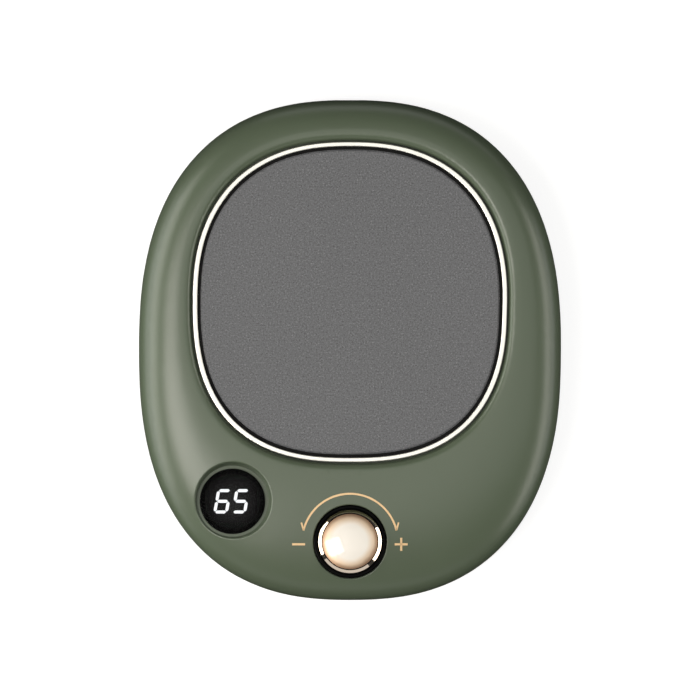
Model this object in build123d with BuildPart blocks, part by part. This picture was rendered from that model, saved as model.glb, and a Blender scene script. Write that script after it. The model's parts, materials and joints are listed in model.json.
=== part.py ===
from build123d import *
from math import cos, hypot, pi, radians, sin, sqrt, tan
import os

# Desktop mug warmer: a pebble-shaped case with a heated glass plate at the back,
# and a push-and-turn knob and a round temperature display on the sloping front.
# Millimetres. X is across, -Y is the front, +Z is up, the feet stand on Z = 0.

os.makedirs("parts", exist_ok=True)

# ---- case ----
BODY_HALF_WIDTH = 65.0
BODY_HALF_DEPTH = 77.0
BODY_SQUARENESS = 2.45
OUTLINE_POINTS = 24
CREST_HEIGHT = 27.0
WIDEST_HEIGHT = 11.0
SEAM_HEIGHT = 5.0
FOOT_HEIGHT = 2.0
TUCK_UNDER = 4.5
PROFILE_POWER = 3.0
WALL = 2.0
LIP_HEIGHT = 2.0
LIP_THICKNESS = 1.2
LIP_EASE = 0.15

# ---- heating plate, by its rims, and what holds it ----
RIM_SIDE = 18.95
RIM_BACK = 15.25
FRONT_PANEL = 44.85
FRONT_BULGE = 0.4
SQUARENESS_BACK = 2.37
SQUARENESS_FRONT = 2.54
PLATE_SINK = 1.2
PLATE_THICKNESS = 3.0
PLATE_BEVEL = 0.5
GASKET_WIDTH = 1.0
GASKET_RECESS = 0.5
GASKET_LIP = 1.2
GASKET_REACH = 4.05
RING_WIDTH = 1.4
RING_PROUD = 0.25
RING_EASE = 0.5
RING_ROUND = 0.25
LEDGE_THICKNESS = 2.0
WELL_WALL = 1.6
CREST_OFFSET = 5.3
DIP_FALL = 2.0
DIP_POWER = 3.2
SPREADER_THICKNESS = 1.5
FILM_THICKNESS = 0.4
FILM_INSET = 2.5
PAD_THICKNESS = 2.9
PAD_WINDOW = 26.0
PAD_WINDOW_SHIFT = -6.0
STACK_EASE = 0.6
RETAINER_THICKNESS = 1.0
RETAINER_INSET = 0.5
RETAINER_WINDOW_WIDTH = 24.0
RETAINER_WINDOW_DEPTH = 11.0
RETAINER_WINDOW_SHIFT = -13.0
RETAINER_SLOT_X = 27.0
RETAINER_SLOT_LENGTH = 24.0
RETAINER_SLOT_WIDTH = 5.0
RETAINER_SCREW_INSET = 1.6
RETAINER_BOSS_RADIUS = 2.4
WINDOW_CORNER = 2.0

# ---- heater tabs, thermal cutout, temperature sensor and their leads ----
TAB_XS = (-1.8, 1.8)
TAB_WIDTH = 2.6
TAB_LENGTH = 6.0
TAB_THICKNESS = 0.4
CUTOUT_XS = (-8.6, -5.6)
CUTOUT_HEIGHT = 2.7
CUTOUT_LENGTH = 17.0
CUTOUT_WIDTH = 6.6
CUTOUT_ROUND = 0.8
CUTOUT_SETBACK = 2.5
SENSOR_XS = (5.6, 6.8)
SENSOR_HEIGHT = 2.0
SENSOR_RADIUS = 1.5
LEAD_DROP_SHIFT = -15.0
LEAD_RADIUS = 0.65
SENSOR_LEAD_RADIUS = 0.35
SUPPLY_LEAD_RADIUS = 0.75
SUPPLY_START_INSET = 8.0
SUPPLY_START_X = 1.5
SUPPLY_START_PITCH = 3.12
SUPPLY_START_RISE = 2.6
SUPPLY_START_RUN = 10.0
SUPPLY_DESCENT = 22.0
SUPPLY_FLOOR_GAP = 0.2
SUPPLY_RISE_BACK = 11.5
SUPPLY_RISE_FRONT = 6.5

# ---- knob, bezel and encoder ----
KNOB_INSET = 18.0
KNOB_SINK = 6.8
KNOB_LIFT = 1.2
KNOB_POCKET_ROUND = 0.3
SKIRT_HEIGHT = 4.6
SKIRT_RADIUS = 9.7
SKIRT_WALL = 1.6
SKIRT_BEVEL_WIDTH = 0.9
SKIRT_BEVEL_DROP = 0.68
SKIRT_GROOVE_DEPTH = 0.7
CAP_SIDE = 3.5
CAP_RADIUS = 8.5
CAP_ROUND = 1.8
CAP_CHAMFER = 0.4
DOME_RISE = 1.9
INSERT_CORE_RADIUS = 5.0
INSERT_TOP_RADIUS = 6.6
INSERT_WEB = 1.6
INSERT_EASE = 0.02
BEZEL_RADIUS = 11.25
BEZEL_GAP = 0.3
BEZEL_HEIGHT = 4.4
BEZEL_ROUND = 0.4
BEZEL_FLOOR = 0.5
POCKET_EASE = 0.1
CUP_WALL = 1.9
CUP_FLOOR = 2.0
PUSH_TRAVEL = 0.5
SHAFT_RADIUS = 3.0
SHAFT_FLAT = 1.5
SHAFT_EASE = 0.04
SHAFT_ENTRY = 2.6
SHAFT_TIP_GAP = 0.6
SHAFT_NECK = 1.5
SHAFT_SHOULDER_GAP = 0.25
DRIVE_RADIUS = 2.5
DRIVE_FLAT = 1.6
DRIVE_EASE = 0.05
BUSHING_RADIUS = 3.5
BUSHING_HOLE_EASE = 0.3
BUSHING_PROUD = 0.2
ENCODER_SIZE = 12.0
ENCODER_BASE_HEIGHT = 3.0
ENCODER_HEIGHT = 6.5
ENCODER_ROOF = 1.0
ENCODER_CHAMFER = 0.4
ENCODER_PIN_PITCH = 2.5
ENCODER_PIN_WIDTH = 0.8
ENCODER_PIN_THICKNESS = 0.5
ENCODER_PIN_RISE = 1.6
ROTOR_RADIUS = 4.9
ROTOR_EASE = 0.2
ROTOR_NOTCHES = 20
ROTOR_NOTCH_RADIUS = 0.3
PLUNGER_RADIUS = 2.4
PLUNGER_THICKNESS = 0.6
PLUNGER_WELL_RADIUS = 2.75
PLUNGER_WELL_FLOOR = 0.6
PLUNGER_GAP = 0.1
SPRING_RADIUS = 1.8
SPRING_WIRE = 0.12
SPRING_TURNS = 2.5

# ---- display ----
DISPLAY_INSET_SIDE = 28.8
DISPLAY_INSET_FRONT = 30.4
DISPLAY_SINK = 5.6
COUNTERBORE_RADIUS = 12.2
COUNTERBORE_TAPER = 1.2
COUNTERBORE_ROUND = 0.4
LENS_RADIUS = 10.04
LENS_THICKNESS = 1.6
LENS_POCKET = 1.0
LENS_ROUND = 0.25
WINDOW_RADIUS = 8.3
TAPE_THICKNESS = 0.15
TAPE_EASE = 0.2
MODULE_WIDTH = 15.0
MODULE_DEPTH = 13.0
MODULE_HEIGHT = 6.8
MODULE_CHAMFER = 0.3
MODULE_GAP = 0.4
SEGMENT_THICKNESS = 0.2
DIGIT_HEIGHT = 7.5
DIGIT_WIDTH = 4.5
DIGIT_PITCH = 5.6
DIGIT_SLANT = 10.0
DIGIT_SHIFT = -0.25
SEGMENT_WIDTH = 0.92
SEGMENT_GAP = 0.12
DISPLAY_PIN_PITCH = 2.54
DISPLAY_PIN_RADIUS = 0.25
DISPLAY_PIN_INSET = 1.2

# ---- boards and electronics ----
BOARD_DROP = 8.0
BOARD_THICKNESS = 1.6
BOARD_SIDE_GAP = 2.6
BOARD_FRONT_GAP = 9.0
BOARD_DEPTH = 50.0
BOARD_SIDE_DEPTH = 32.0
BOARD_FRONT_TAPER = 18.0
BOARD_CORNER = 3.0
BASE_FLOOR = 2.0
POST_RADIUS = 3.0
POST_INSET = 5.0
POST_FRONT_INSET = 8.0
POST_EDGE = 6.0
PIN_EASE = 0.15
PIN_TAIL = 0.8
CHIP_X = 18.0
CHIP_SETBACK = 22.0
CHIP_SIZE = 7.0
CHIP_HEIGHT = 1.3
CHIP_STAND = 0.15
CHIP_CHAMFER = 0.2
CHIP_LEGS_PER_SIDE = 9
CHIP_LEG_PITCH = 0.7
CHIP_LEG_LENGTH = 1.0
CHIP_LEG_WIDTH = 0.3
CHIP_LEG_HEIGHT = 0.5
TRANSISTOR_INSET = 12.0
TRANSISTOR_SETBACK = 11.0
TRANSISTOR_WIDTH = 6.6
TRANSISTOR_DEPTH = 6.2
TRANSISTOR_HEIGHT = 2.3
TRANSISTOR_CHAMFER = 0.3
CAPACITOR_X = -14.0
CAPACITOR_SETBACK = 24.0
CAPACITOR_RADIUS = 3.15
CAPACITOR_HEIGHT = 7.7
CAPACITOR_ROUND = 0.6
INDUCTOR_INSET = 14.0
INDUCTOR_SETBACK = 26.0
INDUCTOR_SIZE = 7.3
INDUCTOR_HEIGHT = 3.5
INDUCTOR_ROUND = 1.2
BUZZER_X = -22.0
BUZZER_SETBACK = 12.0
BUZZER_RADIUS = 4.5
BUZZER_HEIGHT = 4.0
BUZZER_HOLE_RADIUS = 0.8
CHIP_PART_LENGTH = 2.0
CHIP_PART_WIDTH = 1.25
CHIP_PART_HEIGHT = 0.6
PLUG_SETBACK = 1.5
PLUG_DEPTH = 6.0
PLUG_HEIGHT = 3.2
PLUG_ROUND = 0.6
HARNESS_PLUG_WIDTH = 21.0
SUPPLY_PLUG_WIDTH = 6.4
SOCKET_SIDE = 0.4
SOCKET_FLOOR = 0.8
SUPPLY_XS = (21.2, 23.8)

# ---- power inlet ----
INLET_POST_HEIGHT = 1.8
INLET_BOARD_WIDTH = 22.0
INLET_BOARD_LENGTH = 25.0
INLET_BOARD_SETBACK = 3.3
INLET_BOARD_CORNER = 1.5
INLET_SCREW_INSET = 2.9
INLET_WIDTH = 9.2
INLET_HEIGHT = 9.2
INLET_LENGTH = 12.4
INLET_CHAMFER = 0.8
INLET_SINK = 0.05
INLET_COLLAR_LENGTH = 2.65
INLET_COLLAR_RADIUS = 3.95
INLET_BORE_RADIUS = 3.2
INLET_BORE_DEPTH = 10.4
INLET_AXIS_HEIGHT = 4.9
INLET_PIN_RADIUS = 1.0
INLET_PIN_RECESS = 0.9
INLET_PIN_ROUND = 0.3
INLET_ROOT_RADIUS = 0.8
INLET_ROOT_TAIL = 0.6
INLET_HOLE_EASE = 0.3
CONTACT_REACH = 0.35
CONTACT_THICKNESS = 0.4
CONTACT_LENGTH = 6.8
CONTACT_WIDTH = 2.0
CONTACT_EASE = 0.2
CONTACT_SHIFT = 2.6
TAIL_WIDTH = 1.0
TAIL_THICKNESS = 0.4
TAIL_PLACES = [(0.0, 0.8), (0.0, 4.0), (3.0, 7.0)]

# ---- screws and feet ----
CASE_SCREW_FRONT = (11.0, 47.0)
CASE_SCREW_BACK = (22.0, 23.0)
CASE_BOSS_RADIUS = 3.4
CASE_BOSS_RISE = 1.5
CASE_SCREW_RADIUS = 1.45
CASE_SCREW_LENGTH = 9.5
CASE_HEAD_RADIUS = 2.7
CASE_HEAD_HEIGHT = 1.6
CASE_HEAD_SINK = 2.6
BOARD_SCREW_RADIUS = 1.25
BOARD_SCREW_LENGTH = 5.4
BOARD_HEAD_RADIUS = 2.4
BOARD_HEAD_HEIGHT = 1.5
SMALL_SCREW_RADIUS = 1.0
SMALL_SCREW_LENGTH = 3.5
SMALL_HEAD_RADIUS = 2.0
SMALL_HEAD_HEIGHT = 1.4
THREAD_EASE = 0.05
SHANK_EASE = 0.3
HEAD_EASE = 0.4
SCREW_TIP_GAP = 0.3
RECESS_SPAN = 0.6
RECESS_WIDTH = 0.6
RECESS_DEPTH = 0.7
FOOT_RADIUS = 6.0
FOOT_SINK = 0.8
FOOT_EASE = 0.1
FOOT_CHAMFER = 0.5
FOOT_FRONT = (27.0, 33.0)
FOOT_BACK = (33.0, 31.0)
RIB_WIDTH = 1.2
RIB_HEIGHT = 1.4
RIB_X = 12.0
RIB_LENGTH = 46.0
LABEL_WIDTH = 44.0
LABEL_DEPTH = 28.0
LABEL_CORNER = 3.0
LABEL_SINK = 0.3

# ---- derived sizes ----
THROUGH = 2 * CREST_HEIGHT
PLATE_HALF_WIDTH = BODY_HALF_WIDTH - RIM_SIDE
PLATE_BACK = BODY_HALF_DEPTH - (RIM_BACK + FRONT_PANEL + FRONT_BULGE) / 2
PLATE_FRONT = PLATE_BACK + FRONT_BULGE
PLATE_Y = BODY_HALF_DEPTH - RIM_BACK - PLATE_BACK
PLATE_TOP = CREST_HEIGHT - PLATE_SINK
PLATE_BOTTOM = PLATE_TOP - PLATE_THICKNESS
RING_TOP = PLATE_TOP + RING_PROUD
GASKET_TOP = PLATE_TOP - GASKET_RECESS
LEDGE_TOP = PLATE_BOTTOM - GASKET_LIP
LEDGE_BOTTOM = LEDGE_TOP - LEDGE_THICKNESS
RING_OUTER = GASKET_WIDTH + RING_WIDTH
WELL_POCKET = RING_OUTER + RING_EASE
WELL_OUTER = WELL_POCKET + WELL_WALL
SPREADER_BOTTOM = PLATE_BOTTOM - SPREADER_THICKNESS
FILM_BOTTOM = SPREADER_BOTTOM - FILM_THICKNESS
PAD_BOTTOM = FILM_BOTTOM - PAD_THICKNESS
RETAINER_BOTTOM = PAD_BOTTOM - RETAINER_THICKNESS
BASE_INSIDE = FOOT_HEIGHT + BASE_FLOOR
KNOB_Y = KNOB_INSET - BODY_HALF_DEPTH
KNOB_FLOOR = CREST_HEIGHT - KNOB_SINK
KNOB_BOTTOM = KNOB_FLOOR + KNOB_LIFT
SKIRT_TOP = KNOB_BOTTOM + SKIRT_HEIGHT
KNOB_TOP = SKIRT_TOP + CAP_SIDE + DOME_RISE
BEZEL_TOP = KNOB_FLOOR + BEZEL_HEIGHT
DISPLAY_X = DISPLAY_INSET_SIDE - BODY_HALF_WIDTH
DISPLAY_Y = DISPLAY_INSET_FRONT - BODY_HALF_DEPTH
DISPLAY_FLOOR = CREST_HEIGHT - DISPLAY_SINK
CASE_BOSS_BOTTOM = SEAM_HEIGHT + CASE_BOSS_RISE
CASE_SCREW_SEAT = FOOT_HEIGHT + CASE_HEAD_SINK
CASE_SCREWS = [
    (side * (BODY_HALF_WIDTH - inset), end * (BODY_HALF_DEPTH - setback))
    for end, (inset, setback) in ((-1, CASE_SCREW_FRONT), (1, CASE_SCREW_BACK))
    for side in (-1, 1)
]
FEET = [
    (side * (BODY_HALF_WIDTH - inset), end * (BODY_HALF_DEPTH - setback))
    for end, (inset, setback) in ((-1, FOOT_FRONT), (1, FOOT_BACK))
    for side in (-1, 1)
]
BOARD_BOTTOM = RETAINER_BOTTOM - BOARD_DROP
BOARD_TOP = BOARD_BOTTOM + BOARD_THICKNESS
BOARD_HALF_WIDTH = CASE_SCREWS[1][0] - CASE_BOSS_RADIUS - BOARD_SIDE_GAP
BOARD_FRONT = BOARD_FRONT_GAP - BODY_HALF_DEPTH
BOARD_BACK = BOARD_FRONT + BOARD_DEPTH
BOARD_SIDE_FRONT = BOARD_BACK - BOARD_SIDE_DEPTH
BOARD_FRONT_HALF = BOARD_HALF_WIDTH - BOARD_FRONT_TAPER
BOARD_POSTS = [
    (POST_INSET - BOARD_HALF_WIDTH, BOARD_BACK - POST_EDGE),
    (BOARD_HALF_WIDTH - POST_INSET, BOARD_BACK - POST_EDGE),
    (POST_FRONT_INSET - BOARD_FRONT_HALF, BOARD_FRONT + POST_EDGE),
    (BOARD_FRONT_HALF - POST_FRONT_INSET, BOARD_FRONT + POST_EDGE),
]
PLUG_BACK = BOARD_BACK - PLUG_SETBACK
LEAD_Y = PLATE_Y + LEAD_DROP_SHIFT
CUTOUT_FRONT = LEAD_Y + CUTOUT_SETBACK
LEAD_HEIGHT = BOARD_TOP + SOCKET_FLOOR + PLUG_HEIGHT / 2
INLET_COLLAR_END = BODY_HALF_DEPTH - INLET_SINK
INLET_FACE = INLET_COLLAR_END - INLET_COLLAR_LENGTH
INLET_BACK = INLET_FACE - INLET_LENGTH
INLET_BORE_END = INLET_COLLAR_END - INLET_BORE_DEPTH
INLET_BOARD_BOTTOM = BASE_INSIDE + INLET_POST_HEIGHT
INLET_BOARD_TOP = INLET_BOARD_BOTTOM + BOARD_THICKNESS
INLET_BOARD_BACK = INLET_FACE - INLET_BOARD_SETBACK
INLET_BOARD_FRONT = INLET_BOARD_BACK - INLET_BOARD_LENGTH
INLET_AXIS = INLET_BOARD_TOP + INLET_AXIS_HEIGHT
INLET_SCREWS = [
    (side * (INLET_BOARD_WIDTH / 2 - INLET_SCREW_INSET), INLET_BOARD_FRONT + INLET_SCREW_INSET)
    for side in (-1, 1)
]


# ---- outlines ----
def egg_reach(angle, half_width, back, front, square_back, square_front):
    """Distance from the centre to a rounded-square outline, at an angle."""
    behind = sin(angle) >= 0
    depth = back if behind else front
    power = square_back if behind else square_front
    return ((abs(cos(angle)) / half_width) ** power + (abs(sin(angle)) / depth) ** power) ** (-1 / power)


def body_outline(blend, grow):
    """Case outline: 0 is the widest line, 1 is the crest around the heating plate."""
    centre_y = PLATE_Y * blend
    half = BODY_HALF_WIDTH + (PLATE_HALF_WIDTH + CREST_OFFSET - BODY_HALF_WIDTH) * blend + grow
    back = BODY_HALF_DEPTH + (PLATE_BACK + CREST_OFFSET - BODY_HALF_DEPTH) * blend + grow
    front = BODY_HALF_DEPTH + (PLATE_FRONT + CREST_OFFSET - BODY_HALF_DEPTH) * blend + grow
    square_back = BODY_SQUARENESS + (SQUARENESS_BACK - BODY_SQUARENESS) * blend
    square_front = BODY_SQUARENESS + (SQUARENESS_FRONT - BODY_SQUARENESS) * blend
    points = []
    for step in range(OUTLINE_POINTS):
        angle = 2 * pi * step / OUTLINE_POINTS
        reach = egg_reach(angle, half, back, front, square_back, square_front)
        points.append((reach * cos(angle), centre_y + reach * sin(angle)))
    return points


def plate_point(angle, grow):
    """Point on the heating plate's outline, moved outwards by grow."""
    reach = egg_reach(
        angle,
        PLATE_HALF_WIDTH + grow,
        PLATE_BACK + grow,
        PLATE_FRONT + grow,
        SQUARENESS_BACK,
        SQUARENESS_FRONT,
    )
    return (reach * cos(angle), PLATE_Y + reach * sin(angle))


def closed_face(points, height):
    """Flat face inside a smooth closed line through the points."""
    with BuildSketch(Plane.XY.offset(height)) as face:
        with BuildLine():
            Spline(*points, periodic=True)
        make_face()
    return face.sketch


def body_face(blend, grow, height):
    return closed_face(body_outline(blend, grow), height)


def plate_face(grow, height):
    points = [plate_point(2 * pi * step / OUTLINE_POINTS, grow) for step in range(OUTLINE_POINTS)]
    return closed_face(points, height)


def tuck(height):
    """How far the case draws in below its widest line."""
    drop = (WIDEST_HEIGHT - height) / (WIDEST_HEIGHT - FOOT_HEIGHT)
    return TUCK_UNDER * (1 - sqrt(max(0.0, 1 - drop * drop)))


def rise(blend):
    """Share of the height from the widest line to the crest."""
    return (1 - (1 - blend) ** 2) ** (1 / PROFILE_POWER)


UPPER_BLENDS = [0.0, 0.01, 0.045, 0.12, 0.25, 0.42, 0.65, 0.88, 1.0]
LOWER_HEIGHTS = [SEAM_HEIGHT + (WIDEST_HEIGHT - SEAM_HEIGHT) * share for share in (0, 1 / 3, 2 / 3)]
RETAINER_SCREWS = [
    plate_point(radians(45 + 90 * quarter), -RETAINER_SCREW_INSET) for quarter in range(4)
]


def cross_recess(places, height, span):
    """Cross-shaped driver recesses, one for each screw head."""
    with BuildSketch(Plane.XY.offset(height)) as cross:
        with Locations(*places):
            Rectangle(span, RECESS_WIDTH)
            Rectangle(RECESS_WIDTH, span)
    return cross.sketch


# ---- upper shell: what it is hollowed by ----
inside_faces = [body_face(0.0, -tuck(SEAM_HEIGHT) - WALL, SEAM_HEIGHT - 1.0)]
for level in LOWER_HEIGHTS:
    inside_faces.append(body_face(0.0, -tuck(level) - WALL, level))
for blend in UPPER_BLENDS:
    share = rise(blend)
    lean = radians(90 * share**1.45)
    height = WIDEST_HEIGHT + (CREST_HEIGHT - WIDEST_HEIGHT) * share - WALL * sin(lean)
    inside_faces.append(body_face(blend, -WALL * cos(lean), height))

with BuildPart() as hollow:
    loft(inside_faces)
    # the walls, cups and bosses that stay standing inside the hollow
    extrude(plate_face(WELL_OUTER, LEDGE_BOTTOM), amount=THROUGH, mode=Mode.SUBTRACT)
    with BuildSketch(Plane.XY.offset(KNOB_FLOOR - CUP_FLOOR)):
        with Locations((0, KNOB_Y)):
            Circle(BEZEL_RADIUS + POCKET_EASE + CUP_WALL)
    extrude(amount=THROUGH, mode=Mode.SUBTRACT)
    with BuildSketch(Plane.XY.offset(DISPLAY_FLOOR - CUP_FLOOR)):
        with Locations((DISPLAY_X, DISPLAY_Y)):
            Circle(COUNTERBORE_RADIUS + CUP_WALL)
    extrude(amount=THROUGH, mode=Mode.SUBTRACT)
    with BuildSketch(Plane.XY.offset(CASE_BOSS_BOTTOM)):
        with Locations(*CASE_SCREWS):
            Circle(CASE_BOSS_RADIUS)
    extrude(amount=THROUGH, mode=Mode.SUBTRACT)
    with BuildSketch(Plane.XY.offset(PAD_BOTTOM)):
        with Locations(*RETAINER_SCREWS):
            Circle(RETAINER_BOSS_RADIUS)
    extrude(amount=LEDGE_TOP - PAD_BOTTOM, mode=Mode.SUBTRACT)

# ---- upper shell ----
outside_faces = [body_face(0.0, -tuck(level), level) for level in LOWER_HEIGHTS]
for blend in UPPER_BLENDS:
    outside_faces.append(
        body_face(blend, 0.0, WIDEST_HEIGHT + (CREST_HEIGHT - WIDEST_HEIGHT) * rise(blend))
    )
dip_width = CREST_OFFSET - WELL_POCKET
for share in (0.3, 0.6, 0.85, 1.0, 1.3):
    fall = DIP_FALL * share**DIP_POWER
    outside_faces.append(body_face(1.0, -dip_width * share, CREST_HEIGHT - fall))

with BuildPart() as upper_shell:
    loft(outside_faces)
    add(hollow.part, mode=Mode.SUBTRACT)
    # plate well and the opening below it
    extrude(plate_face(WELL_POCKET, LEDGE_TOP), amount=THROUGH, mode=Mode.SUBTRACT)
    extrude(plate_face(-GASKET_REACH, PAD_BOTTOM), amount=THROUGH, mode=Mode.SUBTRACT)
    # knob pocket with a softened lip, and the bushing hole
    with Locations((0, KNOB_Y, KNOB_FLOOR)):
        Cylinder(
            BEZEL_RADIUS + POCKET_EASE,
            THROUGH,
            align=(Align.CENTER, Align.CENTER, Align.MIN),
            mode=Mode.SUBTRACT,
        )
    fillet(upper_shell.edges(Select.LAST).sort_by(SortBy.LENGTH)[-1], KNOB_POCKET_ROUND)
    with Locations((0, KNOB_Y, KNOB_FLOOR)):
        Cylinder(BUSHING_RADIUS + BUSHING_HOLE_EASE, 3 * CUP_FLOOR, mode=Mode.SUBTRACT)
    # tapered display recess with a softened lip, window pocket and light opening
    with Locations((DISPLAY_X, DISPLAY_Y, DISPLAY_FLOOR)):
        Cone(
            COUNTERBORE_RADIUS - COUNTERBORE_TAPER,
            COUNTERBORE_RADIUS,
            DISPLAY_SINK,
            align=(Align.CENTER, Align.CENTER, Align.MIN),
            mode=Mode.SUBTRACT,
        )
    fillet(upper_shell.edges(Select.LAST).sort_by(SortBy.LENGTH)[-1], COUNTERBORE_ROUND)
    with Locations((DISPLAY_X, DISPLAY_Y, DISPLAY_FLOOR)):
        Cylinder(LENS_RADIUS + POCKET_EASE, 2 * LENS_POCKET, mode=Mode.SUBTRACT)
        Cylinder(WINDOW_RADIUS, 3 * CUP_FLOOR, mode=Mode.SUBTRACT)
    # power inlet hole through the back wall
    with Locations(Plane((0, INLET_FACE, INLET_AXIS), z_dir=(0, 1, 0))):
        Cylinder(
            INLET_COLLAR_RADIUS + INLET_HOLE_EASE,
            THROUGH,
            align=(Align.CENTER, Align.CENTER, Align.MIN),
            mode=Mode.SUBTRACT,
        )
    # screw holes
    with Locations(*[(x, y, CASE_SCREW_SEAT) for x, y in CASE_SCREWS]):
        Cylinder(
            CASE_SCREW_RADIUS + THREAD_EASE,
            2 * (CASE_SCREW_LENGTH + SCREW_TIP_GAP),
            mode=Mode.SUBTRACT,
        )
    with Locations(*[(x, y, RETAINER_BOTTOM) for x, y in RETAINER_SCREWS]):
        Cylinder(
            SMALL_SCREW_RADIUS + THREAD_EASE,
            2 * (SMALL_SCREW_LENGTH + SCREW_TIP_GAP),
            mode=Mode.SUBTRACT,
        )
upper_shell.part.label = "upper_shell"
export_step(upper_shell.part, "parts/upper_shell.step")

# ---- base cover ----
EDGE_STEPS = (0.0, 0.04, 0.17, 0.4, 0.7, 1.0)
base_heights = [FOOT_HEIGHT + (SEAM_HEIGHT - FOOT_HEIGHT) * step for step in EDGE_STEPS]
with BuildPart() as base_cover:
    loft([body_face(0.0, -tuck(level), level) for level in base_heights])
    # locating lip inside the shell wall
    lip_inset = tuck(SEAM_HEIGHT) + WALL + LIP_EASE
    extrude(body_face(0.0, -lip_inset, SEAM_HEIGHT), amount=LIP_HEIGHT)
    extrude(
        body_face(0.0, -lip_inset - LIP_THICKNESS, BASE_INSIDE),
        amount=THROUGH,
        mode=Mode.SUBTRACT,
    )
    # case screw towers, control board posts and inlet board posts
    with BuildSketch(Plane.XY.offset(BASE_INSIDE)):
        with Locations(*CASE_SCREWS):
            Circle(CASE_BOSS_RADIUS + HEAD_EASE)
    extrude(amount=CASE_BOSS_BOTTOM - BASE_INSIDE)
    with BuildSketch(Plane.XY.offset(BASE_INSIDE)):
        with Locations(*BOARD_POSTS):
            Circle(POST_RADIUS)
    extrude(amount=BOARD_BOTTOM - BASE_INSIDE)
    with BuildSketch(Plane.XY.offset(BASE_INSIDE)):
        with Locations(*INLET_SCREWS):
            Circle(SMALL_HEAD_RADIUS + HEAD_EASE)
    extrude(amount=INLET_BOARD_BOTTOM - BASE_INSIDE)
    # stiffening ribs across the floor, below the heating plate
    with BuildSketch(Plane.XY.offset(BASE_INSIDE)):
        with Locations((-RIB_X, PLATE_Y), (RIB_X, PLATE_Y)):
            Rectangle(RIB_WIDTH, RIB_LENGTH)
        with Locations((0, PLATE_Y - RIB_LENGTH / 2), (0, PLATE_Y + RIB_LENGTH / 2)):
            Rectangle(2 * RIB_X + RIB_WIDTH, RIB_WIDTH)
    extrude(amount=RIB_HEIGHT)
    # screw holes, and room round the shell's bosses
    with Locations(*[(x, y, CASE_BOSS_BOTTOM) for x, y in CASE_SCREWS]):
        Cylinder(
            CASE_BOSS_RADIUS + SHANK_EASE,
            THROUGH,
            align=(Align.CENTER, Align.CENTER, Align.MIN),
            mode=Mode.SUBTRACT,
        )
    with Locations(*[(x, y, FOOT_HEIGHT) for x, y in CASE_SCREWS]):
        Cylinder(CASE_SCREW_RADIUS + SHANK_EASE, THROUGH, mode=Mode.SUBTRACT)
        Cylinder(CASE_HEAD_RADIUS + HEAD_EASE, 2 * CASE_HEAD_SINK, mode=Mode.SUBTRACT)
    with Locations(*[(x, y, BOARD_TOP) for x, y in BOARD_POSTS]):
        Cylinder(
            BOARD_SCREW_RADIUS + THREAD_EASE,
            2 * (BOARD_SCREW_LENGTH + SCREW_TIP_GAP),
            mode=Mode.SUBTRACT,
        )
    with Locations(*[(x, y, INLET_BOARD_TOP) for x, y in INLET_SCREWS]):
        Cylinder(
            SMALL_SCREW_RADIUS + THREAD_EASE,
            2 * (SMALL_SCREW_LENGTH + SCREW_TIP_GAP),
            mode=Mode.SUBTRACT,
        )
    # foot recesses and a blank label recess
    with Locations(*[(x, y, FOOT_HEIGHT) for x, y in FEET]):
        Cylinder(FOOT_RADIUS + FOOT_EASE, 2 * FOOT_SINK, mode=Mode.SUBTRACT)
    with BuildSketch(Plane.XY.offset(FOOT_HEIGHT)):
        RectangleRounded(LABEL_WIDTH, LABEL_DEPTH, LABEL_CORNER)
    extrude(amount=LABEL_SINK, mode=Mode.SUBTRACT)
base_cover.part.label = "base_cover"
export_step(base_cover.part, "parts/base_cover.step")

# ---- rubber feet ----
with BuildPart() as rubber_feet:
    for x, y in FEET:
        with BuildSketch():
            with Locations((x, y)):
                Circle(FOOT_RADIUS)
        extrude(amount=FOOT_HEIGHT + FOOT_SINK)
    chamfer(rubber_feet.edges().filter_by(GeomType.CIRCLE).group_by(Axis.Z)[0], FOOT_CHAMFER)
rubber_feet.part.label = "rubber_feet"
export_step(rubber_feet.part, "parts/rubber_feet.step")

# ---- case screws, driven up from below ----
with BuildPart() as case_screws:
    with Locations(*[(x, y, CASE_SCREW_SEAT) for x, y in CASE_SCREWS]):
        Cylinder(CASE_HEAD_RADIUS, CASE_HEAD_HEIGHT, align=(Align.CENTER, Align.CENTER, Align.MAX))
        Cylinder(CASE_SCREW_RADIUS, CASE_SCREW_LENGTH, align=(Align.CENTER, Align.CENTER, Align.MIN))
    extrude(
        cross_recess(CASE_SCREWS, CASE_SCREW_SEAT - CASE_HEAD_HEIGHT, 2 * CASE_HEAD_RADIUS * RECESS_SPAN),
        amount=RECESS_DEPTH,
        mode=Mode.SUBTRACT,
    )
case_screws.part.label = "case_screws"
export_step(case_screws.part, "parts/case_screws.step")

# ---- plated trim ring round the heating plate ----
with BuildPart() as trim_ring:
    extrude(plate_face(RING_OUTER, LEDGE_TOP), amount=RING_TOP - LEDGE_TOP)
    extrude(plate_face(GASKET_WIDTH, LEDGE_TOP), amount=THROUGH, mode=Mode.SUBTRACT)
    fillet(trim_ring.edges().group_by(Axis.Z)[-1], RING_ROUND)
trim_ring.part.label = "trim_ring"
export_step(trim_ring.part, "parts/trim_ring.step")

# ---- silicone gasket: a wall round the glass and a lip below it ----
with BuildPart() as plate_gasket:
    extrude(plate_face(GASKET_WIDTH, LEDGE_TOP), amount=GASKET_TOP - LEDGE_TOP)
    extrude(plate_face(0.0, PLATE_BOTTOM), amount=THROUGH, mode=Mode.SUBTRACT)
    extrude(plate_face(-GASKET_REACH, LEDGE_TOP), amount=THROUGH, mode=Mode.SUBTRACT)
plate_gasket.part.label = "plate_gasket"
export_step(plate_gasket.part, "parts/plate_gasket.step")

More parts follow.
